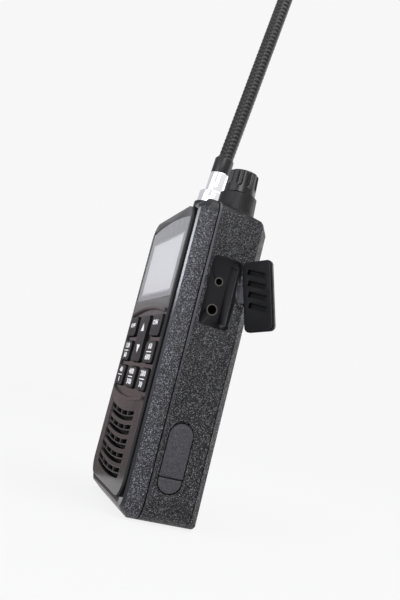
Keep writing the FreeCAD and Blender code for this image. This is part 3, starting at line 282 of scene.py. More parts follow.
# ---- finishes

Skin = tuple[NodeSocket, NodeSocket, NodeSocket]


@dataclass(frozen=True)
class Finish:
    """A surface with handling marks over a plain material.

    The relief is bump strong and depth metres deep; edge is the radius, in millimetres,
    by which sharp edges look rounded. Colour and roughness are plain where amount is 0.
    """

    name: str
    colour: Colour
    roughness: float = 0.4
    metallic: float = 0.0
    dust: Colour = (0.35, 0.35, 0.36)
    amount: float = 0.06
    size: float = 60.0
    bump: float = 0.04
    depth: float = 0.0002
    coat: float = 0.0
    specular: float = 0.3
    edge: float = 0.0
    # Strength of a glow in the surface's own colour; where set it is painted light, as the
    # piece is no lamp.
    glow: float = 0.0
    clear: float = 0.0
    ior: float = 1.5

    def skin(self, b: NodeBuilder) -> Skin:
        """Add what the surface shows.

        Args:
            b: builder of the material's tree.

        Returns:
            Sockets of its colour, roughness and height.
        """
        marks = b.add("ShaderNodeGroup", {
            "Vector": b.place(), "Base": self.colour, "Dust": self.dust,
            "Amount": self.amount, "Roughness": self.roughness, "Size": self.size},
                      node_tree=GROUPS["handling"]).outputs
        return marks["Colour"], marks["Roughness"], marks["Height"]

    def build(self) -> Material:
        """Make the material, with sockets linked and the rest set as constants.

        Returns:
            The material.
        """
        material, b = new_material(self.name)
        colour, roughness, height = (self.skin(b) if self.amount > 0
                                     else (self.colour, self.roughness, 0.0))
        inputs = {"Base Color": colour, "Roughness": roughness, "Metallic": self.metallic,
                  "Coat Weight": self.coat, "Specular IOR Level": self.specular,
                  "Emission Color": self.colour, "Emission Strength": self.glow,
                  "Transmission Weight": self.clear, "IOR": self.ior}
        if self.bump > 0:
            relief = {"Strength": self.bump, "Distance": self.depth, "Height": height}
            if self.edge > 0:
                rounding = b.add("ShaderNodeBevel", {"Radius": self.edge * MM}, samples=4)
                relief["Normal"] = rounding.outputs[0]
            inputs["Normal"] = b.add("ShaderNodeBump", relief).outputs[0]
        b.feed(b.tree.nodes["Principled BSDF"], inputs)
        return material


@dataclass(frozen=True)
class Grain(Finish):
    """Moulded plastic with a speckled grain that can fade out, and a smoother lip that can
    carry a painted highlight.

    The grain fades to plain between the two heights of fade. The lip is the zone whose
    Y lies between the two depths of lip, with a smoother skin and the colour
    lip_tone_and_highlight, which on the rear case is a painted highlight along the seam;
    it gains its full strength between the two heights of lip_fade. All are in millimetres.
    """

    bump: float = 0.5
    depth: float = 0.00012
    cells: float = 2500.0
    spark: Colour = (0.3, 0.3, 0.33)
    share: float = 0.2
    fade: Span = (900.0, 901.0)
    lip: Span = (900.0, 901.0)
    lip_tone_and_highlight: Colour = (0.1, 0.1, 0.1)
    lip_roughness: float = 0.2
    lip_fade: Span = (-901.0, -900.0)
    lip_blur: float = 0.25
    lip_least: float = 0.25

    def lip_mask(self, b: NodeBuilder, axes: NodeOutputs) -> NodeSocket:
        """Mask that is one inside the lip and none beyond its blur.

        Args:
            b: builder of the material's tree.
            axes: X, Y and Z of the place.

        Returns:
            The mask's socket.
        """
        start, end = self.lip
        low, high = self.lip_fade
        rise = b.spread(axes["Y"], (start - self.lip_blur) * MM, start * MM)
        fall = b.spread(axes["Y"], end * MM, (end + self.lip_blur) * MM, 1.0, 0.0)
        strength = b.spread(axes["Z"], low * MM, high * MM, self.lip_least, 1.0)
        return b.math("MULTIPLY", b.math("MULTIPLY", rise, fall), strength)

    def skin(self, b: NodeBuilder) -> Skin:
        """Add what the surface shows.

        Args:
            b: builder of the material's tree.

        Returns:
            Sockets of its colour, roughness and height.
        """
        spot = b.place()
        axes = b.axes(spot)
        lip = self.lip_mask(b, axes)
        low, high = self.fade
        grained = b.math("MULTIPLY", b.spread(axes["Z"], low * MM, high * MM, 1.0, 0.0),
                         b.math("SUBTRACT", 1.0, lip))
        grain = b.add("ShaderNodeGroup", {
            "Vector": spot, "Base": self.colour, "Spark": self.spark, "Cells": self.cells,
            "Share": b.math("MULTIPLY", grained, self.share),
            "Roughness": self.roughness}, node_tree=GROUPS["speckle"]).outputs
        # The lip's colour goes over the grain; on the rear case it is a painted highlight.
        return (b.mix(lip, grain["Colour"], self.lip_tone_and_highlight),
                b.spread(lip, 0.0, 1.0, grain["Roughness"], self.lip_roughness),
                b.math("MULTIPLY", grain["Height"], grained))


@dataclass(frozen=True)
class Side(Finish):
    """Moulded edge in front, painted near-black behind a depth in mm as shade in the gap to
    the case.
    """

    gap_shade: Colour = (0.002, 0.002, 0.002)
    gap_shade_roughness: float = 0.6
    behind: float = -15.0
    blur: float = 0.1

    def skin(self, b: NodeBuilder) -> Skin:
        """Add what the surface shows.

        Args:
            b: builder of the material's tree.

        Returns:
            Sockets of its colour, roughness and height.
        """
        colour, roughness, height = super().skin(b)
        # Behind the depth the colour is painted near-black shade.
        deep = b.spread(b.axes(b.place())["Y"], (self.behind - self.blur) * MM,
                        (self.behind + self.blur) * MM)
        return (b.mix(deep, colour, self.gap_shade),
                b.spread(deep, 0.0, 1.0, roughness, self.gap_shade_roughness), height)


# ---- shape helpers

WELD = 2e-6
FINE_WELD = 1e-6
FLAT_ANGLE = math.radians(0.6)
SHARP_ANGLE = math.radians(28)
# A face stands square to an axis where its normal has less than this share of it.
SQUARE = 0.5
# It looks along an axis where its normal has more than this share of it.
ALONG = 0.9
# A rounded end closes with a small flat face of this share of its radius.
POLE = 0.02


def span(node: str) -> tuple[np.ndarray, np.ndarray]:
    """Corners of a CAD node's box, in metres."""
    low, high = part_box(node)
    return np.array(low, float), np.array(high, float)


def body_of(node: str) -> str:
    """Name of the moving body that a CAD node belongs to.

    Args:
        node: CAD node.

    Returns:
        Name of the body, which is the case where none lists the node.
    """
    for body, nodes in frame["record"]["behaviour"]["bodies"].items():
        if node in nodes:
            return body
    return "case"


def slot_of(node: str) -> str:
    """Material slot that the record gives a node.

    Args:
        node: CAD node.

    Returns:
        Name of the slot.
    """
    for part in frame["record"]["subparts"]:
        if part["node"] == node:
            return part["material_slot"]
    raise KeyError(node)


def linked(name: str, data: ID) -> Object:
    """Put a mesh, curve, lamp or camera into the scene, at the origin.

    Args:
        name: object name.
        data: what the object holds.

    Returns:
        The new object.
    """
    obj = bpy.data.objects.new(name, data)
    bpy.context.scene.collection.objects.link(obj)
    return obj


def one_face(name: str, corners: list[Place]) -> Mesh:
    """Mesh of a single polygon.

    Args:
        name: mesh name.
        corners: its corners in order, in metres.

    Returns:
        The mesh.
    """
    mesh = bpy.data.meshes.new(name)
    mesh.from_pydata(corners, [], [tuple(range(len(corners)))])
    return mesh


def shade(mesh: Mesh, smooth: bool) -> None:
    """Shade every face smooth or flat."""
    mesh.polygons.foreach_set("use_smooth", np.full(len(mesh.polygons), smooth))


def grid_piece(name: str, points: np.ndarray) -> Object:
    """Skin a closed grid of points with quads.

    Quad (i, j) joins rows i and i + 1 and columns j and j + 1; the last column joins the
    first, and one polygon closes the first row and one the last.

    Args:
        name: object name.
        points: array of shape rows, columns, 3.

    Returns:
        The new object.
    """
    rows, cols = points.shape[:2]
    index = np.arange(rows * cols).reshape(rows, cols)
    right = np.roll(index, -1, axis=1)
    quads = np.stack([index[:-1], right[:-1], right[1:], index[1:]], axis=-1).reshape(-1, 4)
    loops = np.concatenate([quads.ravel(), index[0][::-1], index[-1]])
    sizes = np.concatenate([np.full(len(quads), 4), [cols, cols]])
    mesh = bpy.data.meshes.new(name)
    mesh.vertices.add(rows * cols)
    mesh.vertices.foreach_set("co", points.reshape(-1).astype(np.float32))
    mesh.loops.add(len(loops))
    mesh.loops.foreach_set("vertex_index", loops.astype(np.int32))
    mesh.polygons.add(len(sizes))
    starts = np.concatenate([[0], np.cumsum(sizes)[:-1]])
    mesh.polygons.foreach_set("loop_start", starts.astype(np.int32))
    mesh.polygons.foreach_set("loop_total", sizes.astype(np.int32))
    mesh.update(calc_edges=True)
    mesh.validate()
    with editing(mesh) as work:
        bmesh.ops.recalc_face_normals(work, faces=work.faces)
    shade(mesh, True)
    return linked(name, mesh)


def prism(name: str, outline: np.ndarray, axis: int, ends: Span) -> Object:
    """Block with a flat outline, drawn out along one axis.

    Args:
        name: object name.
        outline: points in the other two axes, in metres.
        axis: 1 for Y, 2 for Z.
        ends: where the block starts and ends along the axis, in metres.

    Returns:
        The block.
    """
    return grid_piece(name, np.stack([np.insert(outline, axis, end, axis=1) for end in ends]))


def rectangle(low: Span, high: Span) -> np.ndarray:
    """Corners of a flat rectangle."""
    return np.array([low, (high[0], low[1]), high, (low[0], high[1])])


def on_axis(profile: np.ndarray, start: np.ndarray, end: np.ndarray, sides: int) -> np.ndarray:
    """Turn a profile about a leaning axis.

    A profile point (s, r) goes to start + s * d + r * (cos a * u + sin a * v), where d is
    the axis direction, u and v are square to it, and a runs round the circle.

    Args:
        profile: array of distance along the axis and radius.
        start: foot of the axis.
        end: any later point of the axis.
        sides: number of points round the circle.

    Returns:
        Grid of points, profile by circle.
    """
    d = (end - start) / np.linalg.norm(end - start)
    u = np.array([1.0, 0.0, 0.0])
    v = np.cross(d, u)
    angle = np.linspace(0, 2 * np.pi, sides, endpoint=False)
    ring = np.cos(angle)[:, None] * u + np.sin(angle)[:, None] * v
    return start + profile[:, 0, None, None] * d + profile[:, 1, None, None] * ring[None]


def leaning_axis(node: str, rounds: int = 40) -> tuple[np.ndarray, np.ndarray, float]:
    """Axis of a round bar that leans to the back, from its box.

    The box spans L sin t + 2 r cos t in Y and L cos t + 2 r sin t in Z, with 2 r its span
    in X; the lean t is found by repeated substitution.

    Args:
        node: CAD node of the bar.
        rounds: how often the lean is put back into the equations.

    Returns:
        Foot, head and radius of the bar.
    """
    low, high = span(node)
    r = (high[0] - low[0]) / 2
    dy, dz = high[1] - low[1], high[2] - low[2]
    lean = 0.1
    for _ in range(rounds):
        lean = math.atan2(dy - 2 * r * math.cos(lean), dz - 2 * r * math.sin(lean))
    foot = np.array([low[0] + r, low[1] + r * math.cos(lean), low[2] + r * math.sin(lean)])
    head = np.array([low[0] + r, high[1] - r * math.cos(lean), high[2] - r * math.sin(lean)])
    return foot, head, r


MADE: dict[str, Material] = {}


def material_of(finish: Finish) -> Material:
    """Material of a finish, built once.

    Args:
        finish: the finish.

    Returns:
        Its material.
    """
    if finish.name not in MADE:
        MADE[finish.name] = finish.build()
    return MADE[finish.name]


def paint(obj: Object, finish: Finish) -> None:
    """Give a whole piece one finish."""
    obj.data.materials.clear()
    obj.data.materials.append(material_of(finish))


def dress(finish: Finish, *nodes: str) -> None:
    """Give carried-over CAD nodes their finish."""
    for node in nodes:
        paint(frame["nodes"][node], finish)


def put_on(obj: Object, node: str, finish: Finish, slot: str | None = None,
           replace: bool = True) -> Object:
    """Fasten a piece to its body and give it a finish.

    Args:
        obj: the piece.
        node: CAD node it belongs with.
        finish: its finish.
        slot: material slot of the record, or None for the node's own; not used.
        replace: whether it is shown in place of the node.

    Returns:
        The piece.
    """
    paint(obj, finish)
    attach(obj, body_of(node))
    if replace:
        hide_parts(node)
    slot = slot or slot_of(node)
    return obj


def welded(node: str, dissolve: bool) -> Object:
    """Copy of a CAD node with its doubled points merged.

    Args:
        node: CAD node.
        dissolve: whether the triangles of a flat face become one polygon.

    Returns:
        The copy, with every face shaded smooth.
    """
    mesh = frame["nodes"][node].data.copy()
    with editing(mesh) as work:
        bmesh.ops.remove_doubles(work, verts=work.verts, dist=WELD)
        if dissolve:
            bmesh.ops.dissolve_limit(work, angle_limit=FLAT_ANGLE, verts=work.verts,
                                     edges=work.edges)
    shade(mesh, True)
    return linked(node + "_shown", mesh)


def softened(node: str, finish: Finish, width: float, segments: int = 3) -> Object:
    """Copy of a CAD node with its sharp edges rounded.

    Args:
        node: CAD node.
        finish: finish of the copy.
        width: edge radius in millimetres.
        segments: faces across a rounded edge.

    Returns:
        The rounded copy, shown in place of the node.
    """
    obj = welded(node, True)
    adjust(obj.modifiers.new("edges", "BEVEL"), width=width * MM, segments=segments,
           limit_method="ANGLE", angle_limit=SHARP_ANGLE, use_clamp_overlap=True,
           harden_normals=True, miter_outer="MITER_ARC")
    return put_on(obj, node, finish)


def merged(node: str, finish: Finish) -> Object:
    """Copy of a CAD node that is smooth across its curved faces only.

    Args:
        node: CAD node.
        finish: finish of the copy.

    Returns:
        The copy, shown in place of the node.
    """
    obj = welded(node, False)
    obj.data.set_sharp_from_angle(angle=SHARP_ANGLE)
    adjust(obj.modifiers.new("flat faces", "WEIGHTED_NORMAL"), keep_sharp=True, weight=100)
    return put_on(obj, node, finish)


def reface(obj: Object, chosen: np.ndarray, finish: Finish) -> None:
    """Give some faces of a piece another finish.

    Args:
        obj: the piece.
        chosen: one flag for each polygon.
        finish: finish of the flagged faces.
    """
    obj.data.materials.append(material_of(finish))
    slots = np.zeros(len(obj.data.polygons), np.int32)
    obj.data.polygons.foreach_get("material_index", slots)
    slots[chosen] = len(obj.data.materials) - 1
    obj.data.polygons.foreach_set("material_index", slots)


def carve(obj: Object, cutter: Object, finish: Finish) -> None:
    """Cut a block out of a piece for good, and remove the block.

    Args:
        obj: the piece, which keeps its own modifiers.
        cutter: closed block.
        finish: finish of the cut faces.
    """
    cutter.data.materials.append(material_of(finish))
    kept = list(obj.modifiers)
    for modifier in kept:
        modifier.show_viewport = False
    tool = adjust(obj.modifiers.new("cut", "BOOLEAN"), operation="DIFFERENCE",
                  solver="EXACT", material_mode="TRANSFER", object=cutter)
    mesh = result_of(obj)
    obj.modifiers.remove(tool)
    for modifier in kept:
        modifier.show_viewport = True
    obj.data = mesh
    bpy.data.objects.remove(cutter)
    if "flat faces" in obj.modifiers:
        mesh.set_sharp_from_angle(angle=SHARP_ANGLE)


def result_of(obj: Object) -> Mesh:
    """New mesh of what an object shows, with its modifiers applied."""
    graph = bpy.context.evaluated_depsgraph_get()
    return bpy.data.meshes.new_from_object(obj.evaluated_get(graph))


def polygon_values(obj: Object, name: str, width: int = 3) -> np.ndarray:
    """Values of a piece's polygons.

    Args:
        obj: the piece.
        name: center, normal or area.
        width: numbers for each polygon, 3 or, for an area, 1.

    Returns:
        One row, or one number, for each polygon.
    """
    values = np.empty(len(obj.data.polygons) * width, np.float32)
    obj.data.polygons.foreach_get(name, values)
    return values.reshape(-1, width).squeeze()


def between(values: np.ndarray, ends: Span) -> np.ndarray:
    """Flags for the values that lie between two others."""
    return (values > ends[0]) & (values < ends[1])


# ---- finishes in use

FRONT_PLASTIC = Grain("front_speckle", (0.0095, 0.0092, 0.0115), 0.46, cells=3700.0,
                      spark=(0.24, 0.24, 0.275), share=0.3, bump=0.6, edge=0.35,
                      fade=(115.0, 118.5), lip=(-14.6, -13.7),
                      lip_tone_and_highlight=(0.014, 0.014, 0.018), lip_roughness=0.14)
# The rear case's lip, just behind the seam, is paler and smoother: a painted highlight along
# the seam, stronger higher up.
REAR_PLASTIC = Grain("rear_grain", (0.009, 0.0088, 0.0098), 0.46, cells=3700.0,
                     spark=(0.2, 0.2, 0.21), share=0.3, bump=0.6, edge=0.35,
                     specular=0.2, fade=(116.5, 119.5), lip=(-6.95, -6.3),
                     lip_fade=(50.0, 85.0), lip_tone_and_highlight=(0.085, 0.084, 0.096),
                     lip_roughness=0.34)
PANEL_GLOSS = Finish("panel_gloss", (0.018, 0.0155, 0.016), 0.2, amount=0.015,
                     dust=(0.07, 0.06, 0.06), bump=0.004, edge=0.3)
PANEL_SIDE = Side("panel_side", (0.03, 0.03, 0.033), 0.3, amount=0.03,
                  dust=(0.02, 0.02, 0.02), bump=0.01, specular=0.15, edge=0.3)
LENS_CLEAR = Finish("lens_clear", (0.80, 0.80, 0.83), 0.08, amount=0.0, bump=0.0,
                    clear=0.75, ior=1.45)
# The viewing area and the display's border glow in their own colour: painted light that makes
# them look brighter.
DISPLAY_GREY = Finish("display_grey_painted_glow", (0.72, 0.72, 0.72), 0.35, amount=0.02, bump=0.005,
                      glow=0.25)
BORDER_GREY = Finish("border_grey_painted_glow", (0.40, 0.40, 0.425), 0.3, amount=0.02, bump=0.005,
                     glow=0.45)
SOCKET_RING = Finish("socket_ring", (0.11, 0.105, 0.095), 0.35, metallic=1.0, amount=0.1,
                     dust=(0.04, 0.04, 0.04))
KEY_RUBBER = Finish("key_rubber", (0.022, 0.0215, 0.024), 0.55, amount=0.08,
                    dust=(0.07, 0.07, 0.07), bump=0.12, size=160.0, specular=0.35)
# Near-black painted shade, put on faces that lie in shade: key sides, seam step, joint groove,
# lens edge and the cover's slots.
SHADE_BLACK = Finish("painted_shade_black", (0.003, 0.003, 0.003), 0.6, amount=0.05,
                  dust=(0.01, 0.01, 0.01), specular=0.1)
LEGEND_WHITE = Finish("legend_white", (0.86, 0.86, 0.88), 0.45, amount=0.05,
                      dust=(0.6, 0.6, 0.6), bump=0.02)
RECESS_BLACK = Finish("recess_black", (0.007, 0.007, 0.009), 0.32, amount=0.05,
                      dust=(0.03, 0.03, 0.035), bump=0.03, specular=0.2, edge=0.25)
COVER_RUBBER = Finish("cover_rubber", (0.004, 0.004, 0.005), 0.55, amount=0.1,
                      dust=(0.02, 0.02, 0.023), bump=0.1, size=120.0, specular=0.12)
COVER_RIM = Finish("cover_rim", (0.035, 0.035, 0.038), 0.5, bump=0.08,
                   dust=(0.08, 0.08, 0.085), size=120.0, specular=0.15)
GREY_RUBBER = Grain("grey_rubber", (0.045, 0.044, 0.05), 0.55, cells=3600.0,
                    spark=(0.1, 0.1, 0.11), share=0.1, bump=0.2)
SATIN_BLACK = Finish("satin_black", (0.007, 0.0068, 0.008), 0.26, amount=0.03,
                     dust=(0.03, 0.03, 0.03), bump=0.006)
WHIP_BLACK = Finish("whip_black", (0.005, 0.005, 0.006), 0.36, amount=0.03,
                    dust=(0.02, 0.02, 0.022), bump=0.004)
CHROME = Finish("chrome_plate", (0.86, 0.86, 0.88), 0.09, metallic=1.0, amount=0.03,
                dust=(0.5, 0.5, 0.52), bump=0.02)
STEEL = Finish("plain_steel", (0.45, 0.45, 0.46), 0.3, metallic=1.0, amount=0.1,
               dust=(0.2, 0.2, 0.2))
DARK_STEEL = Finish("dark_steel", (0.12, 0.12, 0.125), 0.35, metallic=1.0, amount=0.1)
GOLD = Finish("gold_plate", (0.85, 0.62, 0.28), 0.22, metallic=1.0, dust=(0.4, 0.3, 0.2))
BRASS = Finish("turned_brass", (0.62, 0.46, 0.2), 0.28, metallic=1.0, amount=0.1,
               dust=(0.3, 0.22, 0.12))
BOARD_GREEN = Finish("board_green", (0.015, 0.10, 0.05), 0.3, amount=0.08, coat=0.4,
                     dust=(0.2, 0.2, 0.15))
INNER_BLACK = Finish("inner_black", (0.02, 0.02, 0.021), 0.5, amount=0.05)
PALE_GUIDE = Finish("pale_guide", (0.8, 0.8, 0.78), 0.3, amount=0.03)
SILICONE = Finish("silicone", (0.16, 0.16, 0.17), 0.5, amount=0.05)
CLOTH_BLACK = Finish("cloth_black", (0.012, 0.012, 0.012), 0.8, amount=0.1, size=900.0,
                     bump=0.4)
CELL_METAL = Finish("cell_metal", (0.42, 0.44, 0.47), 0.3, metallic=0.9, amount=0.08)


# ---- sub-assemblies


@dataclass
class Body:
    """The two halves of the case with their seal and fasteners, in millimetres.

    The seam step is the face just behind the parting of the halves, painted near-black as
    shade in the groove; joint gives the line at the battery's bay on both sides, whose cut
    faces are painted near-black as shade; lining is the box of the socket recess, whose
    faces are smooth and black.
    """

    seam_step: Span = (-7.49, -6.98)
    joint_x: Span = (31.5, 34.0)
    joint_y: Span = (11.2, 11.7)
    joint_z: Span = (-2.0, 72.0)
    lining_y: Span = (-4.8, 11.4)
    lining_z: Span = (73.8, 101.2)
    lining_in: float = 1.7
    lining_out: float = 0.02

    def build(self) -> None:
        """Dress the case halves."""
        merged("front_case", FRONT_PLASTIC)
        rear = merged("rear_case", REAR_PLASTIC)
        for side in (-1, 1):
            # The joint groove's cut faces are painted near-black as shade.
            carve(rear, self.joint(side), SHADE_BLACK)
        x, y, z = polygon_values(rear, "center").T / MM
        reach = span("jack_large")[1][0] / MM - self.lining_in
        skin = span("usb_cover")[1][0] / MM - self.lining_out
        reface(rear, between(x, (reach, skin)) & between(y, self.lining_y)
               & between(z, self.lining_z), RECESS_BLACK)
        # The seam step is painted near-black as shade in the groove.
        reface(rear, between(y, self.seam_step), SHADE_BLACK)
        dress(SILICONE, "case_gasket")
        dress(DARK_STEEL, "case_screws")
        dress(BRASS, "clip_inserts")

    def joint(self, side: int) -> Object:
        """Block that is cut from one side as the joint line of the battery's bay.

        Args:
            side: 1 for the socket side, -1 for the other.

        Returns:
            The block.
        """
        inner, outer = (x * MM * side for x in self.joint_x)
        front, back = (y * MM for y in self.joint_y)
        ends = [z * MM for z in self.joint_z]
        return prism("parting", rectangle((inner, front), (outer, back)), 2, ends)


@dataclass
class Face:
    """Gloss panel, display and its lens, in millimetres.

    The key field is sunk into the panel by field_depth, under the keys, which stand proud
    of the panel. Its faces are gloss where side_from or more of the normal looks ahead.
    The viewing area lies inset from the display's edge, as a sheet between two depths.
    """

    field_depth: float = 0.7
    field_half: float = 26.8
    field_top: float = 77.6
    field_foot: float = 41.3
    arch_r: float = 141.0
    arch_rows: int = 33
    field_ahead: float = 2.0
    key_proud: float = 0.5
    side_from: float = 0.35
    inset: float = 0.5
    sheet: Span = (-0.02, 0.3)

    def build(self) -> None:
        """Dress the panel and the display."""
        panel = merged("front_panel", PANEL_GLOSS)
        carve(panel, self.key_field(), PANEL_GLOSS)
        # Faces that don't look ahead take the side finish, painted near-black behind as shade
        # in the gap to the case.
        reface(panel, polygon_values(panel, "normal")[:, 1] > -self.side_from, PANEL_SIDE)
        lens = merged("display_lens", LENS_CLEAR)
        # The lens's edge faces are painted near-black as shade round its pocket.
        reface(lens, np.abs(polygon_values(lens, "normal")[:, 1]) < SQUARE, SHADE_BLACK)
        dress(BORDER_GREY, "display_module")
        dress(PALE_GUIDE, "back_light")
        dress(INNER_BLACK, "display_frame")
        self.viewing_area()

    def key_field(self) -> Object:
        """Block that is cut from the panel to sink the key field.

        Its top is z = top - x squared / 2 r and its foot z = foot + x squared / 2 r, so
        both run beside the arched ridges.

        Returns:
            The block.
        """
        x = np.linspace(-self.field_half, self.field_half, self.arch_rows)
        bow = x ** 2 / (2 * self.arch_r)
        ring = np.concatenate([np.stack([x, self.field_foot + bow], 1),
                               np.stack([x, self.field_top - bow], 1)[::-1]]) * MM
        face = span("key_rocker")[0][1] + self.key_proud * MM
        ends = (face - self.field_ahead * MM, face + self.field_depth * MM)
        return prism("key_field", ring, 1, ends)

    def viewing_area(self) -> None:
        """Add the pale viewing area on the front of the display."""
        low, high = span("display_module")
        edge = self.inset * MM
        outline = rectangle((low[0] + edge, low[2] + edge), (high[0] - edge, high[2] - edge))
        area = prism("viewing_area", outline, 1, [low[1] + y * MM for y in self.sheet])
        shade(area.data, False)
        # The viewing area glows in its own colour: painted light.
        put_on(area, "display_module", DISPLAY_GREY, "display", replace=False)


class Mark(Enum):
    """Kinds of mark on a key."""

    TEXT = "text"
    BAR = "bar"
    UP = "up"
    DOWN = "down"


@dataclass
class Legend:
    """One white mark on a key, placed from the key's middle in millimetres."""

    kind: Mark
    words: str = ""
    across: float = 0.0
    up: float = 0.0
    size: float = 3.2


def pair(upper: str, lower: str, size: float = 2.1, up: float = 2.1) -> list[Legend]:
    """Two lines of figures with a bar between them."""
    return [Legend(Mark.TEXT, upper, 0, up, size), Legend(Mark.BAR),
            Legend(Mark.TEXT, lower, 0, -up, size)]


@dataclass
class Keypad:
    """Rubber keys with their white legends, in millimetres.

    Letters are drawn at letter_scale times their size, thickened and widened; a mark
    starts proud of its key and is print_t thick. Outlines of bar and arrows are corners,
    the arrows' as shares of half their size.
    """

    edge: float = 0.55
    letter_scale: float = 1.35
    thicken: float = 0.14
    spacing: float = 1.12
    widen: float = 1.6
    proud: float = 0.02
    print_t: float = 0.05
    bar: Outline = ((-3.6, -0.2), (3.6, -0.2), (3.6, 0.2), (-3.6, 0.2))
    arrow_up: Outline = ((-1, -0.62), (1, -0.62), (0, 0.75))
    arrow_down: Outline = ((-1, 0.62), (0, -0.75), (1, 0.62))
    marks: dict[str, list[Legend]] = field(default_factory=lambda: {
        "key_left_1": [Legend(Mark.TEXT, "OFF", 0.4, 0.3, 1.8)],
        "key_right_1": [Legend(Mark.TEXT, "ON", -1.6, 1.0, 1.9)],
        "key_left_2": pair("120", "80"),
        "key_right_2": pair("60", "600"),
        "key_left_3": pair("40", "1"),
        "key_mid_3": pair("400", "300", 2.2),
        "key_right_3": pair("200", "30"),
        "key_rocker": [Legend(Mark.UP, "", 0, 4.6, 5.0), Legend(Mark.DOWN, "", 0, -4.2, 5.0)],
    })

    def build(self) -> None:
        """Dress the keys and print their legends."""
        for node, marks in self.marks.items():
            key = softened(node, KEY_RUBBER, self.edge, 4)
            # The key's side faces are painted near-black as shade, darker than its rubber top.
            reface(key, polygon_values(key, "normal")[:, 1] > -SQUARE, SHADE_BLACK)
            low, high = span(node)
            middle = np.array([(low[0] + high[0]) / 2, low[1], (low[2] + high[2]) / 2])
            for number, mark in enumerate(marks):
                self.print_mark(f"{node}_mark_{number}", node, mark, middle)
        dress(SILICONE, "keypad_mat")
        dress(BOARD_GREEN, "key_board", "main_board")
        dress(INNER_BLACK, "board_link")

    def letters(self, mark: Legend) -> Mesh:
        """Flat mesh of a mark's words, facing +Z, about its own middle.

        Args:
            mark: the mark.

        Returns:
            Mesh in metres.
        """
        curve = adjust(bpy.data.curves.new("mark", "FONT"), body=mark.words,
                       size=mark.size * self.letter_scale * MM, offset=self.thicken * MM,
                       space_character=self.spacing, align_x="CENTER", align_y="CENTER",
                       resolution_u=4)
        holder = linked("mark_holder", curve)
        mesh = result_of(holder)
        bpy.data.objects.remove(holder)
        bpy.data.curves.remove(curve)
        mesh.transform(Matrix.Scale(self.widen, 4, (1, 0, 0)))
        return mesh

    def outline(self, mark: Legend) -> Mesh:
        """Flat mesh of a mark, facing +Z, about its own middle.

        Args:
            mark: the mark.

        Returns:
            Mesh in metres.
        """
        if mark.kind is Mark.TEXT:
            return self.letters(mark)
        if mark.kind is Mark.BAR:
            spots = np.array(self.bar) * MM
        else:
            corners = self.arrow_up if mark.kind is Mark.UP else self.arrow_down
            spots = np.array(corners) * mark.size / 2 * MM
        return one_face("mark", [(x, y, 0.0) for x, y in spots])

    def print_mark(self, name: str, node: str, mark: Legend, middle: np.ndarray) -> None:
        """Raise a mark a hair above its key.

        Args:
            name: object name.
            node: key the mark rides with.
            mark: the mark.
            middle: middle of the key's face in metres.
        """
        mesh = self.outline(mark)
        mesh.transform(Matrix.Rotation(math.radians(90), 4, "X"))
        place = Vector(middle) + Vector((mark.across, -self.proud, mark.up)) * MM
        mesh.transform(Matrix.Translation(place))
        with editing(mesh) as work:
            bmesh.ops.remove_doubles(work, verts=work.verts, dist=FINE_WELD)
            raised = bmesh.ops.extrude_face_region(work, geom=list(work.faces))
            moved = [v for v in raised["geom"] if isinstance(v, bmesh.types.BMVert)]
            bmesh.ops.translate(work, vec=(0, self.print_t * MM, 0), verts=moved)
            bmesh.ops.recalc_face_normals(work, faces=work.faces)
        put_on(linked(name, mesh), node, LEGEND_WHITE, replace=False)


@dataclass
class Aerial:
    """Chrome coupling, sleeve and ribbed whip, in millimetres."""

    rib_pitch: float = 2.0
    rib_depth: float = 0.3
    rib_steps: int = 12
    sides: int = 40
    tip_h: float = 3.9
    tip_rows: int = 14

    def build(self) -> None:
        """Build the whip and its rounded end, and dress the rest."""
        foot, head, radius = leaning_axis("antenna_whip")
        length = float(np.linalg.norm(head - foot))
        pitch = self.rib_pitch * MM
        s = np.linspace(0, length, int(length / pitch * self.rib_steps))
        # Radius dips by the rib depth between ribs, as a sine raised to a rounded crest.
        wave = np.abs(np.sin(np.pi * s / pitch)) ** 0.5
        r = radius - self.rib_depth * MM * (1 - wave)
        whip = grid_piece("whip_ribbed", on_axis(np.stack([s, r], 1), foot, head, self.sides))
        put_on(whip, "antenna_whip", WHIP_BLACK)
        dress(BRASS, "antenna_wire")
        a = np.linspace(0, np.pi / 2, self.tip_rows)
        tip = np.stack([np.sin(a) * self.tip_h * MM, np.maximum(np.cos(a), POLE) * radius], 1)
        cap = grid_piece("whip_end", on_axis(tip, head, 2 * head - foot, self.sides))
        put_on(cap, "antenna_tip", WHIP_BLACK)
        softened("antenna_sleeve", WHIP_BLACK, 0.25)
        softened("antenna_coupling", CHROME, 0.4)
        softened("antenna_collar", CHROME, 0.5, 4)
        dress(BRASS, "antenna_socket")


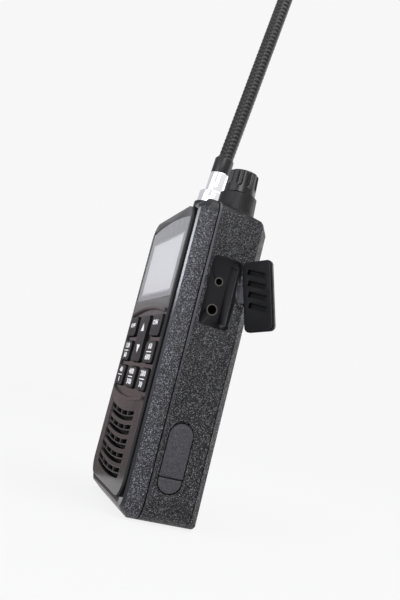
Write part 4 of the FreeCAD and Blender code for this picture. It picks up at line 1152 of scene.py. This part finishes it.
@dataclass
class Volume:
    """Fluted volume knob on its turret, in millimetres and degrees."""

    foot_r: float = 6.4
    foot_in: float = 0.5
    foot_h: float = 0.25
    taper: float = 2.0
    flutes: int = 9
    flute_r: float = 1.5
    flute_out: float = 0.3
    flute_foot: float = 4.0
    flute_turn: float = 10.0
    dome: float = 1.1
    round_r: float = 0.7
    turn_share: float = 0.86
    side_rows: int = 60
    turn_rows: int = 10
    cap_rows: int = 24
    columns: int = 432

    def profile(self, height: float) -> tuple[np.ndarray, np.ndarray]:
        """Heights and radii of the knob without its flutes.

        The side leans in from foot to shoulder, turn_share of a quarter circle turns it
        into the dome, and the dome falls as the square of its radius.

        Args:
            height: height of the knob in metres.

        Returns:
            Heights above the foot and radii, in metres.
        """
        foot_r, round_r = self.foot_r * MM, self.round_r * MM
        top_r = foot_r - height * math.tan(math.radians(self.taper))
        side = np.linspace(0, 1, self.side_rows)
        side_s = side * (height - self.dome * MM - round_r)
        side_r = foot_r + (top_r - foot_r) * side
        turn = np.linspace(0, np.pi / 2 * self.turn_share, self.turn_rows)[1:]
        turn_s = side_s[-1] + np.sin(turn) * round_r
        turn_r = side_r[-1] - (1 - np.cos(turn)) * round_r
        cap = np.linspace(1, POLE, self.cap_rows)[1:]
        cap_s = turn_s[-1] + (height - turn_s[-1]) * (1 - cap ** 2)
        side_s[0] = self.foot_h * MM
        start_r = foot_r - self.foot_in * MM
        return (np.concatenate([[0.0], side_s, turn_s, cap_s]),
                np.concatenate([[start_r], side_r, turn_r, turn_r[-1] * cap]))

    def build(self) -> None:
        """Build the knob and dress its control."""
        low, high = span("volume_knob")
        centre = (low + high) / 2
        s, r = self.profile(high[2] - low[2])
        angle = np.linspace(0, 2 * np.pi, self.columns, endpoint=False)
        s_grid, a_grid = np.meshgrid(s, angle, indexing="ij")
        r_grid = np.repeat(r[:, None], len(angle), axis=1)
        # Nearest flute: its axis stands at reach from the knob's axis, radius flute_r,
        # and shrinks to a ball below its foot.
        step = 2 * np.pi / self.flutes
        near = (a_grid - math.radians(self.flute_turn) + step / 2) % step - step / 2
        reach = (self.foot_r + self.flute_out) * MM
        below = np.maximum(self.flute_foot * MM - s_grid, 0)
        bite = (self.flute_r * MM) ** 2 - below ** 2 - (reach * np.sin(near)) ** 2
        cut = reach * np.cos(near) - np.sqrt(np.maximum(bite, 0))
        r_grid = np.where((bite > 0) & (np.cos(near) > 0), np.minimum(r_grid, cut), r_grid)
        points = np.stack([centre[0] + r_grid * np.cos(a_grid),
                           centre[1] + r_grid * np.sin(a_grid), low[2] + s_grid], axis=-1)
        put_on(grid_piece("fluted_knob", points), "volume_knob", SATIN_BLACK)
        dress(STEEL, "pot_shaft")
        dress(INNER_BLACK, "volume_pot")
        softened("pot_nut", STEEL, 0.15, 2)


@dataclass
class SideFittings:
    """Sockets with their rubber covers, and the talk key, in millimetres and degrees.

    The cover is grey rubber round its pin up to knuckle_r, and its outer edge has a paler
    rim beyond rim_from. Its four slots start slot_floor deep and are cut to slot_deep.
    Their floors are found within slot_level of that, and stand over slot_apart apart.
    """

    knuckle_r: float = 2.3
    rim_from: float = 8.0
    slot_long: float = 7.2
    slot_high: float = 2.1
    slot_floor: float = 0.6
    slot_deep: float = 1.4
    slot_ahead: float = 1.0
    slot_apart: float = 1.0
    slot_level: float = 0.1
    slot_lean: float = 4.8

    def build(self) -> None:
        """Dress the side pieces."""
        cover = softened("jack_cover", COVER_RUBBER, 0.3)
        self.widen_slots(cover)
        pin = sum(span("cover_pin")) / 2
        away = np.linalg.norm(polygon_values(cover, "center")[:, :2] - pin[:2], axis=1)
        normals = polygon_values(cover, "normal")
        plate = normals[int(np.argmax(polygon_values(cover, "area", 1)))]
        upright = np.abs(normals @ plate) < SQUARE
        reface(cover, away < self.knuckle_r * MM, GREY_RUBBER)
        reface(cover, upright & (away > self.rim_from * MM), COVER_RIM)
        dress(SOCKET_RING, "jack_large", "jack_small")
        dress(INNER_BLACK, "jack_block", "talk_switch")
        dress(DARK_STEEL, "cover_pin", "usb_cover_pin")
        dress(STEEL, "usb_socket")
        softened("usb_cover", GREY_RUBBER, 0.3)
        softened("usb_cover_tail", GREY_RUBBER, 0.3)
        softened("talk_key", GREY_RUBBER, 0.5, 4)

    def widen_slots(self, cover: Object) -> None:
        """Cut the four slots in the cover's inner face wider and deeper.

        The inner face is the largest one that looks to the front. Slot floors look the
        same way and lie slot_floor behind it; a block is cut round the middle of each.

        Args:
            cover: the cover as shown.
        """
        normals = polygon_values(cover, "normal").astype(float)
        centres = polygon_values(cover, "center").astype(float)
        areas = polygon_values(cover, "area", 1)
        largest = int(np.argmax(np.where(normals[:, 1] < -SQUARE, areas, 0)))
        plate = normals[largest] / np.linalg.norm(normals[largest])
        rise = np.array([0, 0, 1]) - plate * plate[2]
        rise /= np.linalg.norm(rise)
        floor = self.slot_floor * MM
        depth = (centres - centres[largest]) @ plate
        at_floor = np.abs(depth + floor) < self.slot_level * MM
        floors = centres[(normals @ plate > ALONG) & at_floor]
        lean = math.radians(self.slot_lean)
        along = np.cross(rise, plate) * math.cos(lean) - rise * math.sin(lean)
        across = np.cross(plate, along)
        line = floors @ across
        order = np.argsort(line)
        breaks = np.where(np.diff(line[order]) > self.slot_apart * MM)[0] + 1
        half = rectangle((-0.5, -0.5), (0.5, 0.5))
        ring = half[:, :1] * self.slot_long * along + half[:, 1:] * self.slot_high * across
        for group in np.split(order, breaks):
            middle = floors[group].mean(axis=0) + plate * floor
            points = np.stack([middle + (ring + plate * level) * MM
                               for level in (-self.slot_deep, self.slot_ahead)])
            # The slots' cut faces are painted near-black as shade.
            carve(cover, grid_piece("slot", points), SHADE_BLACK)


@dataclass
class Inside:
    """Speaker, shield and microphone behind the panel."""

    def build(self) -> None:
        """Dress the inner pieces."""
        dress(STEEL, "speaker_frame", "microphone", "rf_shield")
        dress(CLOTH_BLACK, "speaker_cone", "speaker_mesh")
        dress(DARK_STEEL, "speaker_magnet")


@dataclass
class Battery:
    """Battery pack with its lid, latch and contacts."""

    def build(self) -> None:
        """Dress the pack."""
        softened("battery_lid", REAR_PLASTIC, 0.35)
        softened("battery_latch", SATIN_BLACK, 0.2, 2)
        dress(INNER_BLACK, "battery_shell")
        dress(CELL_METAL, "battery_cells")
        dress(GOLD, "battery_pads", "battery_contacts")


# ---- studio


@dataclass(frozen=True)
class Lamp:
    """Soft square lamp: its place and side in metres, its power in watts."""

    name: str
    place: Place
    side: float
    power: float
    colour: Colour = (1.0, 1.0, 1.0)


@dataclass(frozen=True)
class Card:
    """Upright card square to X, seen only in reflections on gloss.

    Its Y and Z run between the ends; its colours change from foot to head at the turns,
    which are heights. All are in metres.
    """

    name: str
    x: float
    ends_y: Span
    ends_z: Span
    colours: tuple[Colour, Colour, Colour]
    turns: Place
    strength: float = 1.0

    def paint(self) -> Material:
        """Make the card's glowing paint.

        Returns:
            The material.
        """
        foot, low, head = self.colours
        material, b = new_material(self.name + "_paint")
        height = b.axes(b.place())["Z"]
        lower = b.mix(b.spread(height, *self.turns[:2]), foot, low)
        colour = b.mix(b.spread(height, *self.turns[1:]), lower, head)
        glow = b.add("ShaderNodeEmission", {"Color": colour, "Strength": self.strength})
        b.feed(b.tree.nodes["Material Output"], {"Surface": glow.outputs[0]})
        return material

    def build(self) -> None:
        """Stand the card."""
        (near, far), (foot, head) = self.ends_y, self.ends_z
        mesh = one_face(self.name, [(self.x, near, foot), (self.x, far, foot),
                                    (self.x, far, head), (self.x, near, head)])
        mesh.materials.append(self.paint())
        obj = linked(self.name, mesh)
        adjust(obj, visible_camera=False, visible_diffuse=False, visible_shadow=False,
               visible_transmission=False)


WHITE = (0.931, 0.931, 0.931)

# The first card stands in the gloss panel's reflections, the second in the aerial's.
CARDS = (
    Card("left_card", -0.06, (-0.4, 0.02), (0.0, 0.24),
         ((0.26, 0.22, 0.22), (0.5, 0.405, 0.42), (0.66, 0.66, 0.69)), (0.0, 0.07, 0.1)),
    Card("right_card", 0.6, (-0.36, -0.06), (0.3, 0.85), (WHITE, WHITE, WHITE),
         (0.3, 0.5, 0.8), 9.0),
)

LAMPS = (
    Lamp("key", (0.30, 0.20, 0.80), 0.5, 3.0),
    Lamp("front", (0.1, -0.8, 0.45), 0.5, 1.2),
    Lamp("lip", (0.446, -0.695, 0.265), 0.14, 1.8, (0.9, 0.93, 1.0)),
    Lamp("rear", (-0.12, 0.85, 0.2), 0.7, 3.0),
    Lamp("blue_front", (0.42, -0.72, 0.2), 0.45, 0.8, (0.82, 0.87, 1.0)),
)


@dataclass
class Studio:
    """Pale floor, soft lamps and the camera, whose axes and eye are in metres."""

    aim: Place = (0.0, 0.0, 0.09)
    floor_half: float = 6.0
    shade_reach: Span = (0.2, 1.1)
    shade_least: float = 0.9
    dim: Colour = (0.05, 0.048, 0.05)
    side_light: Colour = (0.42, 0.42, 0.43)
    sky: Colour = (0.8, 0.8, 0.82)
    focal: float = 39.78
    eye: Place = (0.26325, -0.07983, 0.04815)
    right: Place = (0.32815, 0.91260, 0.24388)
    down: Place = (-0.05464, 0.27608, -0.95958)
    ahead: Place = (-0.94304, 0.30156, 0.14046)

    def pale(self) -> Material:
        """Floor that shows its own white to the camera, gloss and glass, with a shadow.

        Returns:
            The material.
        """
        material, b = new_material("pale_floor")
        nodes = b.tree.nodes
        shader = nodes["Principled BSDF"]
        b.feed(shader, {"Base Color": WHITE, "Roughness": 0.9})
        glow = b.add("ShaderNodeEmission", {"Color": WHITE, "Strength": 1.0})
        reach = b.add("ShaderNodeVectorMath", {0: b.place()}, operation="LENGTH")
        lit = b.spread(reach.outputs["Value"], *self.shade_reach, self.shade_least, 1.0)
        mix = b.add("ShaderNodeMixShader", {0: b.math("MULTIPLY", b.white_rays(), lit),
                                            1: shader.outputs[0], 2: glow.outputs[0]})
        b.feed(nodes["Material Output"], {"Surface": mix.outputs[0]})
        return material

    def floor(self) -> None:
        """Lay the floor."""
        h = self.floor_half
        mesh = one_face("floor", [(-h, -h, 0), (h, -h, 0), (h, h, 0), (-h, h, 0)])
        mesh.materials.append(self.pale())
        obj = linked("floor", mesh)

    def world(self) -> None:
        """White surroundings to the camera, gloss and glass, soft grey light otherwise."""
        world = bpy.data.worlds.new("studio")
        bpy.context.scene.world = world
        world.use_nodes = True
        b = NodeBuilder(world.node_tree)
        around = b.axes(b.add("ShaderNodeTexCoord").outputs["Generated"])
        level = b.mix(b.spread(around["X"], -0.35, 0.8), self.dim, self.side_light)
        soft = b.mix(b.spread(around["Z"], 0.1, 0.8), level, self.sky)
        b.feed(b.tree.nodes["Background"], {"Color": b.mix(b.white_rays(), soft, WHITE)})

    def hang(self, lamp: Lamp) -> None:
        """Hang a lamp so that it faces the radio.

        Args:
            lamp: the lamp.
        """
        light = adjust(bpy.data.lights.new(lamp.name, "AREA"), shape="SQUARE",
                       size=lamp.side, energy=lamp.power, color=lamp.colour)
        away = Vector(self.aim) - Vector(lamp.place)
        adjust(linked(lamp.name, light), location=lamp.place,
               rotation_euler=away.to_track_quat("-Z", "Y").to_euler())

    def camera(self) -> None:
        """Place the camera from its three axes and its eye."""
        data = adjust(bpy.data.cameras.new("camera"), lens=self.focal, sensor_width=36.0,
                      clip_start=0.01, clip_end=50.0)
        obj = linked("camera", data)
        axes = np.array([self.right, [-v for v in self.down], [-v for v in self.ahead]]).T
        u, _, v = np.linalg.svd(axes)
        turn = Matrix((u @ v).tolist()).to_4x4()
        obj.matrix_world = Matrix.Translation(Vector(self.eye)) @ turn
        bpy.context.scene.camera = obj

    def build(self) -> None:
        """Set up floor, cards, light and camera."""
        self.floor()
        for card in CARDS:
            card.build()
        self.world()
        for lamp in LAMPS:
            self.hang(lamp)
        self.camera()
        bpy.context.scene.view_settings.view_transform = "Standard"


def write_sizes() -> None:
    """Bring the view layer up to date."""
    bpy.context.view_layer.update()


def main() -> None:
    """Build every sub-assembly, then the studio."""
    logging.basicConfig(level=logging.INFO)
    for assembly in (Body(), Face(), Keypad(), Aerial(), Volume(), SideFittings(),
                     Inside(), Battery(), Studio()):
        assembly.build()
        LOG.info("%s built, finishes so far: %d", type(assembly).__name__, len(MADE))
    write_sizes()


if __name__ == "__main__":
    main()
